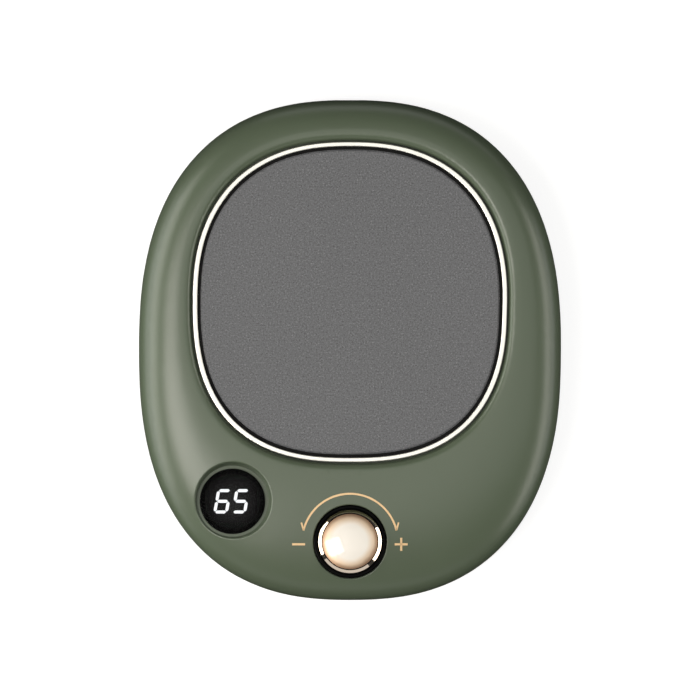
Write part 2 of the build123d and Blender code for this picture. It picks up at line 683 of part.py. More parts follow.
# ---- glass heating plate ----
with BuildPart() as heating_plate:
    extrude(plate_face(0.0, PLATE_BOTTOM), amount=PLATE_THICKNESS)
    chamfer(heating_plate.edges().group_by(Axis.Z)[-1], PLATE_BEVEL)
heating_plate.part.label = "heating_plate"
export_step(heating_plate.part, "parts/heating_plate.step")

# ---- aluminium heat spreader under the glass ----
with BuildPart() as heat_spreader:
    extrude(plate_face(-GASKET_REACH - STACK_EASE, SPREADER_BOTTOM), amount=SPREADER_THICKNESS)
heat_spreader.part.label = "heat_spreader"
export_step(heat_spreader.part, "parts/heat_spreader.step")

# ---- heater film bonded under the spreader ----
with BuildPart() as heater_film:
    extrude(plate_face(-GASKET_REACH - FILM_INSET, FILM_BOTTOM), amount=FILM_THICKNESS)
heater_film.part.label = "heater_film"
export_step(heater_film.part, "parts/heater_film.step")

# ---- insulation pad with a window for the heater's connections ----
with BuildPart() as insulation_pad:
    extrude(plate_face(-GASKET_REACH - STACK_EASE, PAD_BOTTOM), amount=PAD_THICKNESS)
    with BuildSketch(Plane.XY.offset(PAD_BOTTOM)):
        with Locations((0, PLATE_Y + PAD_WINDOW_SHIFT)):
            RectangleRounded(PAD_WINDOW, PAD_WINDOW, WINDOW_CORNER)
    extrude(amount=PAD_THICKNESS, mode=Mode.SUBTRACT)
insulation_pad.part.label = "insulation_pad"
export_step(insulation_pad.part, "parts/insulation_pad.step")

# ---- steel retaining plate that holds the stack up against the ledge ----
with BuildPart() as retaining_plate:
    extrude(plate_face(-RETAINER_INSET, RETAINER_BOTTOM), amount=RETAINER_THICKNESS)
    with BuildSketch(Plane.XY.offset(RETAINER_BOTTOM)):
        with Locations(*RETAINER_SCREWS):
            Circle(SMALL_SCREW_RADIUS + SHANK_EASE)
        with Locations((0, PLATE_Y + RETAINER_WINDOW_SHIFT)):
            RectangleRounded(RETAINER_WINDOW_WIDTH, RETAINER_WINDOW_DEPTH, WINDOW_CORNER)
        with Locations((-RETAINER_SLOT_X, PLATE_Y), (RETAINER_SLOT_X, PLATE_Y)):
            SlotOverall(RETAINER_SLOT_LENGTH, RETAINER_SLOT_WIDTH, rotation=90)
    extrude(amount=RETAINER_THICKNESS, mode=Mode.SUBTRACT)
retaining_plate.part.label = "retaining_plate"
export_step(retaining_plate.part, "parts/retaining_plate.step")

# ---- retaining screws ----
with BuildPart() as retaining_screws:
    with Locations(*[(x, y, RETAINER_BOTTOM) for x, y in RETAINER_SCREWS]):
        Cylinder(SMALL_HEAD_RADIUS, SMALL_HEAD_HEIGHT, align=(Align.CENTER, Align.CENTER, Align.MAX))
        Cylinder(SMALL_SCREW_RADIUS, SMALL_SCREW_LENGTH, align=(Align.CENTER, Align.CENTER, Align.MIN))
    extrude(
        cross_recess(
            RETAINER_SCREWS,
            RETAINER_BOTTOM - SMALL_HEAD_HEIGHT,
            2 * SMALL_HEAD_RADIUS * RECESS_SPAN,
        ),
        amount=RECESS_DEPTH,
        mode=Mode.SUBTRACT,
    )
retaining_screws.part.label = "retaining_screws"
export_step(retaining_screws.part, "parts/retaining_screws.step")

# ---- heater tabs, thermal cutout and temperature sensor in the pad's window ----
with BuildPart() as heater_tabs:
    for x in TAB_XS:
        with Locations((x, LEAD_Y - TAB_LENGTH / 4, FILM_BOTTOM)):
            Box(TAB_WIDTH, TAB_LENGTH, TAB_THICKNESS, align=(Align.CENTER, Align.MIN, Align.MAX))
heater_tabs.part.label = "heater_tabs"
export_step(heater_tabs.part, "parts/heater_tabs.step")

with BuildPart() as thermal_cutout:
    with Locations((sum(CUTOUT_XS) / 2, CUTOUT_FRONT, FILM_BOTTOM)):
        Box(CUTOUT_WIDTH, CUTOUT_LENGTH, CUTOUT_HEIGHT, align=(Align.CENTER, Align.MIN, Align.MAX))
    fillet(thermal_cutout.edges().filter_by(Axis.Z), CUTOUT_ROUND)
thermal_cutout.part.label = "thermal_cutout"
export_step(thermal_cutout.part, "parts/thermal_cutout.step")

with BuildPart() as temperature_sensor:
    with Locations((sum(SENSOR_XS) / 2, LEAD_Y, FILM_BOTTOM)):
        Cylinder(SENSOR_RADIUS, SENSOR_HEIGHT, align=(Align.CENTER, Align.CENTER, Align.MAX))
    fillet(temperature_sensor.edges().group_by(Axis.Z)[0], SENSOR_HEIGHT / 5)
temperature_sensor.part.label = "temperature_sensor"
export_step(temperature_sensor.part, "parts/temperature_sensor.step")


def lead(points, wire_radius, bend_radius):
    """Round wire along a line with rounded corners."""
    with BuildPart() as wire:
        with BuildLine() as route:
            FilletPolyline(*points, radius=bend_radius)
        with BuildSketch(Plane(origin=route.line @ 0, z_dir=route.line % 0)):
            Circle(wire_radius)
        sweep(path=route.line)
    return wire.part


heater_wires = []
for x in TAB_XS:
    tab_face = (x, LEAD_Y, FILM_BOTTOM - TAB_THICKNESS)
    bend = (x, LEAD_Y, LEAD_HEIGHT)
    heater_wires.append(lead([tab_face, bend, (x, PLUG_BACK, LEAD_HEIGHT)], LEAD_RADIUS, 3 * LEAD_RADIUS))
with BuildPart() as heater_leads:
    add(heater_wires)
heater_leads.part.label = "heater_leads"
export_step(heater_leads.part, "parts/heater_leads.step")

cutout_wires = []
for x in CUTOUT_XS:
    exit_height = FILM_BOTTOM - CUTOUT_HEIGHT / 2
    cutout_face = (x, CUTOUT_FRONT, exit_height)
    upper_bend = (x, LEAD_Y, exit_height)
    lower_bend = (x, LEAD_Y, LEAD_HEIGHT)
    cutout_route = [cutout_face, upper_bend, lower_bend, (x, PLUG_BACK, LEAD_HEIGHT)]
    cutout_wires.append(lead(cutout_route, LEAD_RADIUS, 1.8 * LEAD_RADIUS))
with BuildPart() as cutout_leads:
    add(cutout_wires)
cutout_leads.part.label = "cutout_leads"
export_step(cutout_leads.part, "parts/cutout_leads.step")

sensor_wires = []
for x in SENSOR_XS:
    bead_face = (x, LEAD_Y, FILM_BOTTOM - SENSOR_HEIGHT)
    bend = (x, LEAD_Y, LEAD_HEIGHT)
    sensor_route = [bead_face, bend, (x, PLUG_BACK, LEAD_HEIGHT)]
    sensor_wires.append(lead(sensor_route, SENSOR_LEAD_RADIUS, 4 * SENSOR_LEAD_RADIUS))
with BuildPart() as sensor_leads:
    add(sensor_wires)
sensor_leads.part.label = "sensor_leads"
export_step(sensor_leads.part, "parts/sensor_leads.step")

# ---- control board ----
BOARD_CORNERS = [
    (-BOARD_HALF_WIDTH, BOARD_BACK),
    (BOARD_HALF_WIDTH, BOARD_BACK),
    (BOARD_HALF_WIDTH, BOARD_SIDE_FRONT),
    (BOARD_FRONT_HALF, BOARD_FRONT),
    (-BOARD_FRONT_HALF, BOARD_FRONT),
    (-BOARD_HALF_WIDTH, BOARD_SIDE_FRONT),
]
ENCODER_PIN_REACH = (ENCODER_SIZE + ENCODER_PIN_THICKNESS) / 2
ENCODER_PINS = [
    (step * ENCODER_PIN_PITCH, KNOB_Y + row * ENCODER_PIN_REACH)
    for row, step in ((-1, -1), (-1, 0), (-1, 1), (1, -1), (1, 1))
]
DISPLAY_PINS = [
    (DISPLAY_X + DISPLAY_PIN_PITCH * column, DISPLAY_Y + row * (MODULE_DEPTH / 2 - DISPLAY_PIN_INSET))
    for row in (-1, 1)
    for column in range(-2, 3)
]
with BuildPart() as control_board:
    with BuildSketch(Plane.XY.offset(BOARD_BOTTOM)) as board_sketch:
        Polygon(*BOARD_CORNERS, align=None)
        fillet(board_sketch.vertices(), BOARD_CORNER)
        with Locations(*BOARD_POSTS):
            Circle(BOARD_SCREW_RADIUS + SHANK_EASE, mode=Mode.SUBTRACT)
        with Locations(*ENCODER_PINS):
            Circle(hypot(ENCODER_PIN_WIDTH, ENCODER_PIN_THICKNESS) / 2 + PIN_EASE, mode=Mode.SUBTRACT)
        with Locations(*DISPLAY_PINS):
            Circle(DISPLAY_PIN_RADIUS + PIN_EASE, mode=Mode.SUBTRACT)
    extrude(amount=BOARD_THICKNESS)
control_board.part.label = "control_board"
export_step(control_board.part, "parts/control_board.step")

with BuildPart() as board_screws:
    with Locations(*[(x, y, BOARD_TOP) for x, y in BOARD_POSTS]):
        Cylinder(BOARD_HEAD_RADIUS, BOARD_HEAD_HEIGHT, align=(Align.CENTER, Align.CENTER, Align.MIN))
        Cylinder(BOARD_SCREW_RADIUS, BOARD_SCREW_LENGTH, align=(Align.CENTER, Align.CENTER, Align.MAX))
    extrude(
        cross_recess(
            BOARD_POSTS,
            BOARD_TOP + BOARD_HEAD_HEIGHT - RECESS_DEPTH,
            2 * BOARD_HEAD_RADIUS * RECESS_SPAN,
        ),
        amount=RECESS_DEPTH,
        mode=Mode.SUBTRACT,
    )
board_screws.part.label = "board_screws"
export_step(board_screws.part, "parts/board_screws.step")

# ---- parts standing on the control board ----
CHIP_PLACE = (CHIP_X, BOARD_BACK - CHIP_SETBACK)
with BuildPart() as controller_chip:
    with Locations((*CHIP_PLACE, BOARD_TOP + CHIP_STAND)):
        Box(CHIP_SIZE, CHIP_SIZE, CHIP_HEIGHT, align=(Align.CENTER, Align.CENTER, Align.MIN))
    chamfer(controller_chip.edges().group_by(Axis.Z)[-1], CHIP_CHAMFER)
controller_chip.part.label = "controller_chip"
export_step(controller_chip.part, "parts/controller_chip.step")

with BuildPart() as chip_legs:
    for turn in range(4):
        for leg in range(CHIP_LEGS_PER_SIDE):
            along = (leg - (CHIP_LEGS_PER_SIDE - 1) / 2) * CHIP_LEG_PITCH
            with Locations(Location((*CHIP_PLACE, BOARD_TOP), (0, 0, 90 * turn))):
                with Locations((CHIP_SIZE / 2, along, 0)):
                    Box(
                        CHIP_LEG_LENGTH,
                        CHIP_LEG_WIDTH,
                        CHIP_LEG_HEIGHT,
                        align=(Align.MIN, Align.CENTER, Align.MIN),
                    )
chip_legs.part.label = "chip_legs"
export_step(chip_legs.part, "parts/chip_legs.step")

with BuildPart() as power_transistor:
    with Locations((BOARD_HALF_WIDTH - TRANSISTOR_INSET, BOARD_BACK - TRANSISTOR_SETBACK, BOARD_TOP)):
        Box(
            TRANSISTOR_WIDTH,
            TRANSISTOR_DEPTH,
            TRANSISTOR_HEIGHT,
            align=(Align.CENTER, Align.CENTER, Align.MIN),
        )
    chamfer(power_transistor.edges().group_by(Axis.Z)[-1], TRANSISTOR_CHAMFER)
power_transistor.part.label = "power_transistor"
export_step(power_transistor.part, "parts/power_transistor.step")

with BuildPart() as capacitor:
    with Locations((CAPACITOR_X, BOARD_BACK - CAPACITOR_SETBACK, BOARD_TOP)):
        Cylinder(CAPACITOR_RADIUS, CAPACITOR_HEIGHT, align=(Align.CENTER, Align.CENTER, Align.MIN))
    fillet(capacitor.edges().group_by(Axis.Z)[-1], CAPACITOR_ROUND)
capacitor.part.label = "capacitor"
export_step(capacitor.part, "parts/capacitor.step")

with BuildPart() as inductor:
    with Locations((BOARD_HALF_WIDTH - INDUCTOR_INSET, BOARD_BACK - INDUCTOR_SETBACK, BOARD_TOP)):
        Box(INDUCTOR_SIZE, INDUCTOR_SIZE, INDUCTOR_HEIGHT, align=(Align.CENTER, Align.CENTER, Align.MIN))
    fillet(inductor.edges().filter_by(Axis.Z), INDUCTOR_ROUND)
inductor.part.label = "inductor"
export_step(inductor.part, "parts/inductor.step")

with BuildPart() as buzzer:
    with Locations((BUZZER_X, BOARD_BACK - BUZZER_SETBACK, BOARD_TOP)):
        Cylinder(BUZZER_RADIUS, BUZZER_HEIGHT, align=(Align.CENTER, Align.CENTER, Align.MIN))
        Cylinder(BUZZER_HOLE_RADIUS, 3 * BUZZER_HEIGHT, mode=Mode.SUBTRACT)
buzzer.part.label = "buzzer"
export_step(buzzer.part, "parts/buzzer.step")

# places from the board's middle line and its back edge
CHIP_PARTS = [
    (8, 18),
    (8, 21),
    (8, 24),
    (26, 34),
    (29, 34),
    (-5, 18),
    (-5, 21),
    (-2, 18),
    (26, 16),
    (26, 19),
]
with BuildPart() as chip_parts:
    with Locations(*[(x, BOARD_BACK - setback, BOARD_TOP) for x, setback in CHIP_PARTS]):
        Box(
            CHIP_PART_LENGTH,
            CHIP_PART_WIDTH,
            CHIP_PART_HEIGHT,
            align=(Align.CENTER, Align.CENTER, Align.MIN),
        )
chip_parts.part.label = "chip_parts"
export_step(chip_parts.part, "parts/chip_parts.step")

SUPPLY_X = sum(SUPPLY_XS) / 2
with BuildPart() as harness_socket:
    with Locations((0, PLUG_BACK, BOARD_TOP)):
        Box(
            HARNESS_PLUG_WIDTH + 2 * SOCKET_SIDE,
            PLUG_DEPTH,
            SOCKET_FLOOR,
            align=(Align.CENTER, Align.MAX, Align.MIN),
        )
harness_socket.part.label = "harness_socket"
export_step(harness_socket.part, "parts/harness_socket.step")

with BuildPart() as harness_plug:
    with Locations((0, PLUG_BACK, BOARD_TOP + SOCKET_FLOOR)):
        Box(HARNESS_PLUG_WIDTH, PLUG_DEPTH, PLUG_HEIGHT, align=(Align.CENTER, Align.MAX, Align.MIN))
    fillet(harness_plug.edges().group_by(Axis.Z)[-1].filter_by(Axis.X), PLUG_ROUND)
harness_plug.part.label = "harness_plug"
export_step(harness_plug.part, "parts/harness_plug.step")

with BuildPart() as supply_socket:
    with Locations((SUPPLY_X, PLUG_BACK, BOARD_TOP)):
        Box(
            SUPPLY_PLUG_WIDTH + 2 * SOCKET_SIDE,
            PLUG_DEPTH,
            SOCKET_FLOOR,
            align=(Align.CENTER, Align.MAX, Align.MIN),
        )
supply_socket.part.label = "supply_socket"
export_step(supply_socket.part, "parts/supply_socket.step")

with BuildPart() as supply_plug:
    with Locations((SUPPLY_X, PLUG_BACK, BOARD_TOP + SOCKET_FLOOR)):
        Box(SUPPLY_PLUG_WIDTH, PLUG_DEPTH, PLUG_HEIGHT, align=(Align.CENTER, Align.MAX, Align.MIN))
    fillet(supply_plug.edges().group_by(Axis.Z)[-1].filter_by(Axis.X), PLUG_ROUND)
supply_plug.part.label = "supply_plug"
export_step(supply_plug.part, "parts/supply_plug.step")

# ---- supply leads along the floor, from the inlet board to the control board ----
FLOOR_ROUTE_HEIGHT = BASE_INSIDE + SUPPLY_LEAD_RADIUS + SUPPLY_FLOOR_GAP
SUPPLY_START_Y = INLET_BOARD_FRONT + SUPPLY_START_INSET
SUPPLY_TURN_Y = SUPPLY_START_Y - SUPPLY_START_RUN
supply_wires = []
for number, x in enumerate(SUPPLY_XS):
    start_x = SUPPLY_START_X + SUPPLY_START_PITCH * number
    above_board = INLET_BOARD_TOP + SUPPLY_START_RISE
    supply_route = [
        (start_x, SUPPLY_START_Y, INLET_BOARD_TOP),
        (start_x, SUPPLY_START_Y, above_board),
        (start_x, SUPPLY_TURN_Y, above_board),
        (x, SUPPLY_TURN_Y - SUPPLY_DESCENT, FLOOR_ROUTE_HEIGHT),
        (x, PLUG_BACK + SUPPLY_RISE_BACK, FLOOR_ROUTE_HEIGHT),
        (x, PLUG_BACK + SUPPLY_RISE_FRONT, LEAD_HEIGHT),
        (x, PLUG_BACK, LEAD_HEIGHT),
    ]
    supply_wires.append(lead(supply_route, SUPPLY_LEAD_RADIUS, 1.6 * SUPPLY_LEAD_RADIUS))
with BuildPart() as supply_leads:
    add(supply_wires)
supply_leads.part.label = "supply_leads"
export_step(supply_leads.part, "parts/supply_leads.step")

# ---- inlet board with the power inlet on it ----
INLET_TAILS = [(x, INLET_BACK + setback) for x, setback in TAIL_PLACES]
with BuildPart() as inlet_board:
    with BuildSketch(Plane.XY.offset(INLET_BOARD_BOTTOM)) as inlet_sketch:
        with Locations((0, (INLET_BOARD_FRONT + INLET_BOARD_BACK) / 2)):
            RectangleRounded(INLET_BOARD_WIDTH, INLET_BOARD_LENGTH, INLET_BOARD_CORNER)
        with Locations(*INLET_SCREWS):
            Circle(SMALL_SCREW_RADIUS + SHANK_EASE, mode=Mode.SUBTRACT)
        with Locations(*INLET_TAILS):
            Circle(hypot(TAIL_WIDTH, TAIL_THICKNESS) / 2 + PIN_EASE, mode=Mode.SUBTRACT)
    extrude(amount=BOARD_THICKNESS)
inlet_board.part.label = "inlet_board"
export_step(inlet_board.part, "parts/inlet_board.step")

with BuildPart() as inlet_board_screws:
    with Locations(*[(x, y, INLET_BOARD_TOP) for x, y in INLET_SCREWS]):
        Cylinder(SMALL_HEAD_RADIUS, SMALL_HEAD_HEIGHT, align=(Align.CENTER, Align.CENTER, Align.MIN))
        Cylinder(SMALL_SCREW_RADIUS, SMALL_SCREW_LENGTH, align=(Align.CENTER, Align.CENTER, Align.MAX))
    extrude(
        cross_recess(
            INLET_SCREWS,
            INLET_BOARD_TOP + SMALL_HEAD_HEIGHT - RECESS_DEPTH,
            2 * SMALL_HEAD_RADIUS * RECESS_SPAN,
        ),
        amount=RECESS_DEPTH,
        mode=Mode.SUBTRACT,
    )
inlet_board_screws.part.label = "inlet_board_screws"
export_step(inlet_board_screws.part, "parts/inlet_board_screws.step")

# the inlet's axis runs out of the back wall along +Y
INLET_PLANE = Plane((0, INLET_COLLAR_END, INLET_AXIS), z_dir=(0, 1, 0))
CONTACT_Y = INLET_BORE_END + CONTACT_SHIFT
CONTACT_X = INLET_BORE_RADIUS - CONTACT_REACH
with BuildPart() as inlet_body:
    with Locations((0, INLET_BACK, INLET_BOARD_TOP)):
        Box(INLET_WIDTH, INLET_LENGTH, INLET_HEIGHT, align=(Align.CENTER, Align.MIN, Align.MIN))
    chamfer(inlet_body.edges().filter_by(Axis.Y).group_by(Axis.Z)[-1], INLET_CHAMFER)
    with Locations(INLET_PLANE):
        Cylinder(
            INLET_COLLAR_RADIUS,
            INLET_COLLAR_LENGTH,
            align=(Align.CENTER, Align.CENTER, Align.MAX),
        )
        Cylinder(
            INLET_BORE_RADIUS,
            INLET_BORE_DEPTH,
            align=(Align.CENTER, Align.CENTER, Align.MAX),
            mode=Mode.SUBTRACT,
        )
        Cylinder(INLET_ROOT_RADIUS, THROUGH, mode=Mode.SUBTRACT)
    # slot for the spring contact, up one side of the bore
    with Locations((CONTACT_X, CONTACT_Y, INLET_AXIS)):
        Box(
            CONTACT_THICKNESS + CONTACT_REACH + CONTACT_EASE,
            CONTACT_LENGTH + CONTACT_EASE,
            CONTACT_WIDTH + 2 * CONTACT_EASE,
            align=(Align.MIN, Align.CENTER, Align.CENTER),
            mode=Mode.SUBTRACT,
        )
inlet_body.part.label = "inlet_body"
export_step(inlet_body.part, "parts/inlet_body.step")

with BuildPart() as inlet_pin:
    with Locations(Plane((0, INLET_BORE_END, INLET_AXIS), z_dir=(0, 1, 0))):
        Cylinder(
            INLET_PIN_RADIUS,
            INLET_BORE_DEPTH - INLET_PIN_RECESS,
            align=(Align.CENTER, Align.CENTER, Align.MIN),
        )
        Cylinder(
            INLET_ROOT_RADIUS,
            INLET_BORE_END - INLET_BACK + INLET_ROOT_TAIL,
            align=(Align.CENTER, Align.CENTER, Align.MAX),
        )
    fillet(inlet_pin.edges().group_by(Axis.Y)[-1], INLET_PIN_ROUND)
inlet_pin.part.label = "inlet_pin"
export_step(inlet_pin.part, "parts/inlet_pin.step")

with BuildPart() as inlet_spring:
    with Locations((CONTACT_X, CONTACT_Y, INLET_AXIS)):
        Box(
            CONTACT_THICKNESS,
            CONTACT_LENGTH,
            CONTACT_WIDTH,
            align=(Align.MIN, Align.CENTER, Align.CENTER),
        )
inlet_spring.part.label = "inlet_spring"
export_step(inlet_spring.part, "parts/inlet_spring.step")

with BuildPart() as inlet_tails:
    for x, y in INLET_TAILS:
        with Locations((x, y, INLET_BOARD_TOP)):
            Box(
                TAIL_WIDTH,
                TAIL_THICKNESS,
                BOARD_THICKNESS + PIN_TAIL,
                align=(Align.CENTER, Align.CENTER, Align.MAX),
            )
inlet_tails.part.label = "inlet_tails"
export_step(inlet_tails.part, "parts/inlet_tails.step")

# ---- display: window disc, its adhesive ring, module, segments and pins ----
LENS_SEAT = DISPLAY_FLOOR - LENS_POCKET
MODULE_TOP = DISPLAY_FLOOR - CUP_FLOOR - MODULE_GAP
MODULE_BOTTOM = MODULE_TOP - MODULE_HEIGHT
with BuildPart() as display_tape:
    with BuildSketch(Plane.XY.offset(LENS_SEAT)):
        with Locations((DISPLAY_X, DISPLAY_Y)):
            Circle(LENS_RADIUS - TAPE_EASE)
            Circle(WINDOW_RADIUS + TAPE_EASE, mode=Mode.SUBTRACT)
    extrude(amount=TAPE_THICKNESS)
display_tape.part.label = "display_tape"
export_step(display_tape.part, "parts/display_tape.step")

with BuildPart() as display_window:
    with Locations((DISPLAY_X, DISPLAY_Y, LENS_SEAT + TAPE_THICKNESS)):
        Cylinder(LENS_RADIUS, LENS_THICKNESS, align=(Align.CENTER, Align.CENTER, Align.MIN))
    fillet(display_window.edges().group_by(Axis.Z)[-1], LENS_ROUND)
display_window.part.label = "display_window"
export_step(display_window.part, "parts/display_window.step")

with BuildPart() as display_module:
    with Locations((DISPLAY_X, DISPLAY_Y, MODULE_BOTTOM)):
        Box(MODULE_WIDTH, MODULE_DEPTH, MODULE_HEIGHT, align=(Align.CENTER, Align.CENTER, Align.MIN))
    chamfer(display_module.edges().group_by(Axis.Z)[-1], MODULE_CHAMFER)
display_module.part.label = "display_module"
export_step(display_module.part, "parts/display_module.step")

# seven segments of a digit: the ends of each bar, in digit widths and heights
SEGMENT_ENDS = {
    "top": ((0, 1), (1, 1)),
    "upper_right": ((1, 1), (1, 0.5)),
    "lower_right": ((1, 0.5), (1, 0)),
    "bottom": ((0, 0), (1, 0)),
    "lower_left": ((0, 0.5), (0, 0)),
    "upper_left": ((0, 1), (0, 0.5)),
    "middle": ((0, 0.5), (1, 0.5)),
}
LIT_DIGITS = [
    ("top", "upper_left", "middle", "lower_left", "lower_right", "bottom"),
    ("top", "upper_left", "middle", "lower_right", "bottom"),
]


def segment_points(digit, name):
    """Six corners of one slanted, pointed segment bar."""
    (x0, y0), (x1, y1) = SEGMENT_ENDS[name]
    across = DIGIT_WIDTH - SEGMENT_WIDTH
    up = DIGIT_HEIGHT - SEGMENT_WIDTH
    start = ((x0 - 0.5) * across, (y0 - 0.5) * up)
    end = ((x1 - 0.5) * across, (y1 - 0.5) * up)
    length = hypot(end[0] - start[0], end[1] - start[1])
    along = ((end[0] - start[0]) / length, (end[1] - start[1]) / length)
    side = (-along[1], along[0])
    half = SEGMENT_WIDTH / 2
    corners = [
        (SEGMENT_GAP, 0),
        (SEGMENT_GAP + half, half),
        (length - SEGMENT_GAP - half, half),
        (length - SEGMENT_GAP, 0),
        (length - SEGMENT_GAP - half, -half),
        (SEGMENT_GAP + half, -half),
    ]
    centre_x = DISPLAY_X + (digit - 0.5) * DIGIT_PITCH + DIGIT_SHIFT
    points = []
    for forward, sideways in corners:
        x = start[0] + along[0] * forward + side[0] * sideways
        y = start[1] + along[1] * forward + side[1] * sideways
        points.append((centre_x + x + y * tan(radians(DIGIT_SLANT)), DISPLAY_Y + y))
    return points


with BuildPart() as lit_segments:
    with BuildSketch(Plane.XY.offset(MODULE_TOP)):
        for digit, lit in enumerate(LIT_DIGITS):
            for name in lit:
                Polygon(*segment_points(digit, name), align=None)
    extrude(amount=SEGMENT_THICKNESS)
lit_segments.part.label = "lit_segments"
export_step(lit_segments.part, "parts/lit_segments.step")

with BuildPart() as unlit_segments:
    with BuildSketch(Plane.XY.offset(MODULE_TOP)):
        for digit, lit in enumerate(LIT_DIGITS):
            for name in SEGMENT_ENDS:
                if name not in lit:
                    Polygon(*segment_points(digit, name), align=None)
    extrude(amount=SEGMENT_THICKNESS)
unlit_segments.part.label = "unlit_segments"
export_step(unlit_segments.part, "parts/unlit_segments.step")

with BuildPart() as display_pins:
    with BuildSketch(Plane.XY.offset(BOARD_BOTTOM - PIN_TAIL)):
        with Locations(*DISPLAY_PINS):
            Circle(DISPLAY_PIN_RADIUS)
    extrude(amount=MODULE_BOTTOM - BOARD_BOTTOM + PIN_TAIL)
display_pins.part.label = "display_pins"
export_step(display_pins.part, "parts/display_pins.step")

# ---- rotary encoder with a push switch, on the control board under the knob ----
ENCODER_BASE_TOP = BOARD_TOP + ENCODER_BASE_HEIGHT
ENCODER_TOP = BOARD_TOP + ENCODER_HEIGHT
BUSHING_TOP = KNOB_FLOOR + BUSHING_PROUD
ROTOR_ROOM_TOP = ENCODER_TOP - ENCODER_ROOF
SHAFT_BOTTOM = ENCODER_BASE_TOP - PLUNGER_GAP
SHAFT_SHOULDER = ROTOR_ROOM_TOP + PUSH_TRAVEL + SHAFT_SHOULDER_GAP
SHAFT_FLAT_BOTTOM = BUSHING_TOP + SHAFT_NECK
WELL_FLOOR = BOARD_TOP + PLUNGER_WELL_FLOOR
PLUNGER_BOTTOM = SHAFT_BOTTOM - PLUNGER_THICKNESS
SHAFT_TOP = SKIRT_TOP + SHAFT_ENTRY


def flat_round(radius, flat, height):
    """Disc with one flat side, as on a D-shaped shaft."""
    with BuildSketch(Plane.XY.offset(height)) as disc:
        with Locations((0, KNOB_Y)):
            Circle(radius)
            with Locations((flat, 0)):
                Rectangle(2 * radius, 4 * radius, align=(Align.MIN, Align.CENTER), mode=Mode.SUBTRACT)
    return disc.sketch


with BuildPart() as encoder_base:
    with Locations((0, KNOB_Y, BOARD_TOP)):
        Box(
            ENCODER_SIZE,
            ENCODER_SIZE,
            ENCODER_BASE_HEIGHT,
            align=(Align.CENTER, Align.CENTER, Align.MIN),
        )
    with Locations((0, KNOB_Y, WELL_FLOOR)):
        Cylinder(
            PLUNGER_WELL_RADIUS,
            THROUGH,
            align=(Align.CENTER, Align.CENTER, Align.MIN),
            mode=Mode.SUBTRACT,
        )
encoder_base.part.label = "encoder_base"
export_step(encoder_base.part, "parts/encoder_base.step")

with BuildPart() as encoder_housing:
    with Locations((0, KNOB_Y, ENCODER_BASE_TOP)):
        Box(
            ENCODER_SIZE,
            ENCODER_SIZE,
            ENCODER_TOP - ENCODER_BASE_TOP,
            align=(Align.CENTER, Align.CENTER, Align.MIN),
        )
    chamfer(encoder_housing.edges().group_by(Axis.Z)[-1], ENCODER_CHAMFER)
    with Locations((0, KNOB_Y, ENCODER_TOP)):
        Cylinder(
            BUSHING_RADIUS,
            BUSHING_TOP - ENCODER_TOP,
            align=(Align.CENTER, Align.CENTER, Align.MIN),
        )
    with Locations((0, KNOB_Y, ENCODER_BASE_TOP)):
        Cylinder(
            SHAFT_RADIUS + SHAFT_EASE,
            THROUGH,
            align=(Align.CENTER, Align.CENTER, Align.MIN),
            mode=Mode.SUBTRACT,
        )
        Cylinder(
            ROTOR_RADIUS + ROTOR_EASE,
            ROTOR_ROOM_TOP - ENCODER_BASE_TOP,
            align=(Align.CENTER, Align.CENTER, Align.MIN),
            mode=Mode.SUBTRACT,
        )
encoder_housing.part.label = "encoder_housing"
export_step(encoder_housing.part, "parts/encoder_housing.step")

with BuildPart() as encoder_rotor:
    with BuildSketch(Plane.XY.offset(ENCODER_BASE_TOP + ROTOR_EASE / 2)):
        with Locations((0, KNOB_Y)):
            Circle(ROTOR_RADIUS)
    extrude(amount=ROTOR_ROOM_TOP - ENCODER_BASE_TOP - ROTOR_EASE)
    extrude(
        flat_round(DRIVE_RADIUS + DRIVE_EASE, DRIVE_FLAT + DRIVE_EASE, ENCODER_BASE_TOP),
        amount=THROUGH,
        mode=Mode.SUBTRACT,
    )
    # detent notches round the rim
    with BuildSketch(Plane.XY.offset(ENCODER_BASE_TOP)):
        with Locations((0, KNOB_Y)):
            with PolarLocations(ROTOR_RADIUS, ROTOR_NOTCHES):
                Circle(ROTOR_NOTCH_RADIUS)
    extrude(amount=THROUGH, mode=Mode.SUBTRACT)
encoder_rotor.part.label = "encoder_rotor"
export_step(encoder_rotor.part, "parts/encoder_rotor.step")

with BuildPart() as encoder_shaft:
    extrude(flat_round(DRIVE_RADIUS, DRIVE_FLAT, SHAFT_BOTTOM), amount=SHAFT_SHOULDER - SHAFT_BOTTOM)
    with BuildSketch(Plane.XY.offset(SHAFT_SHOULDER)):
        with Locations((0, KNOB_Y)):
            Circle(SHAFT_RADIUS)
    extrude(amount=SHAFT_FLAT_BOTTOM - SHAFT_SHOULDER)
    extrude(
        flat_round(SHAFT_RADIUS, SHAFT_FLAT, SHAFT_FLAT_BOTTOM),
        amount=SHAFT_TOP - SHAFT_FLAT_BOTTOM,
    )
encoder_shaft.part.label = "encoder_shaft"
export_step(encoder_shaft.part, "parts/encoder_shaft.step")

with BuildPart() as push_plunger:
    with Locations((0, KNOB_Y, PLUNGER_BOTTOM)):
        Cylinder(PLUNGER_RADIUS, PLUNGER_THICKNESS, align=(Align.CENTER, Align.CENTER, Align.MIN))
push_plunger.part.label = "push_plunger"
export_step(push_plunger.part, "parts/push_plunger.step")

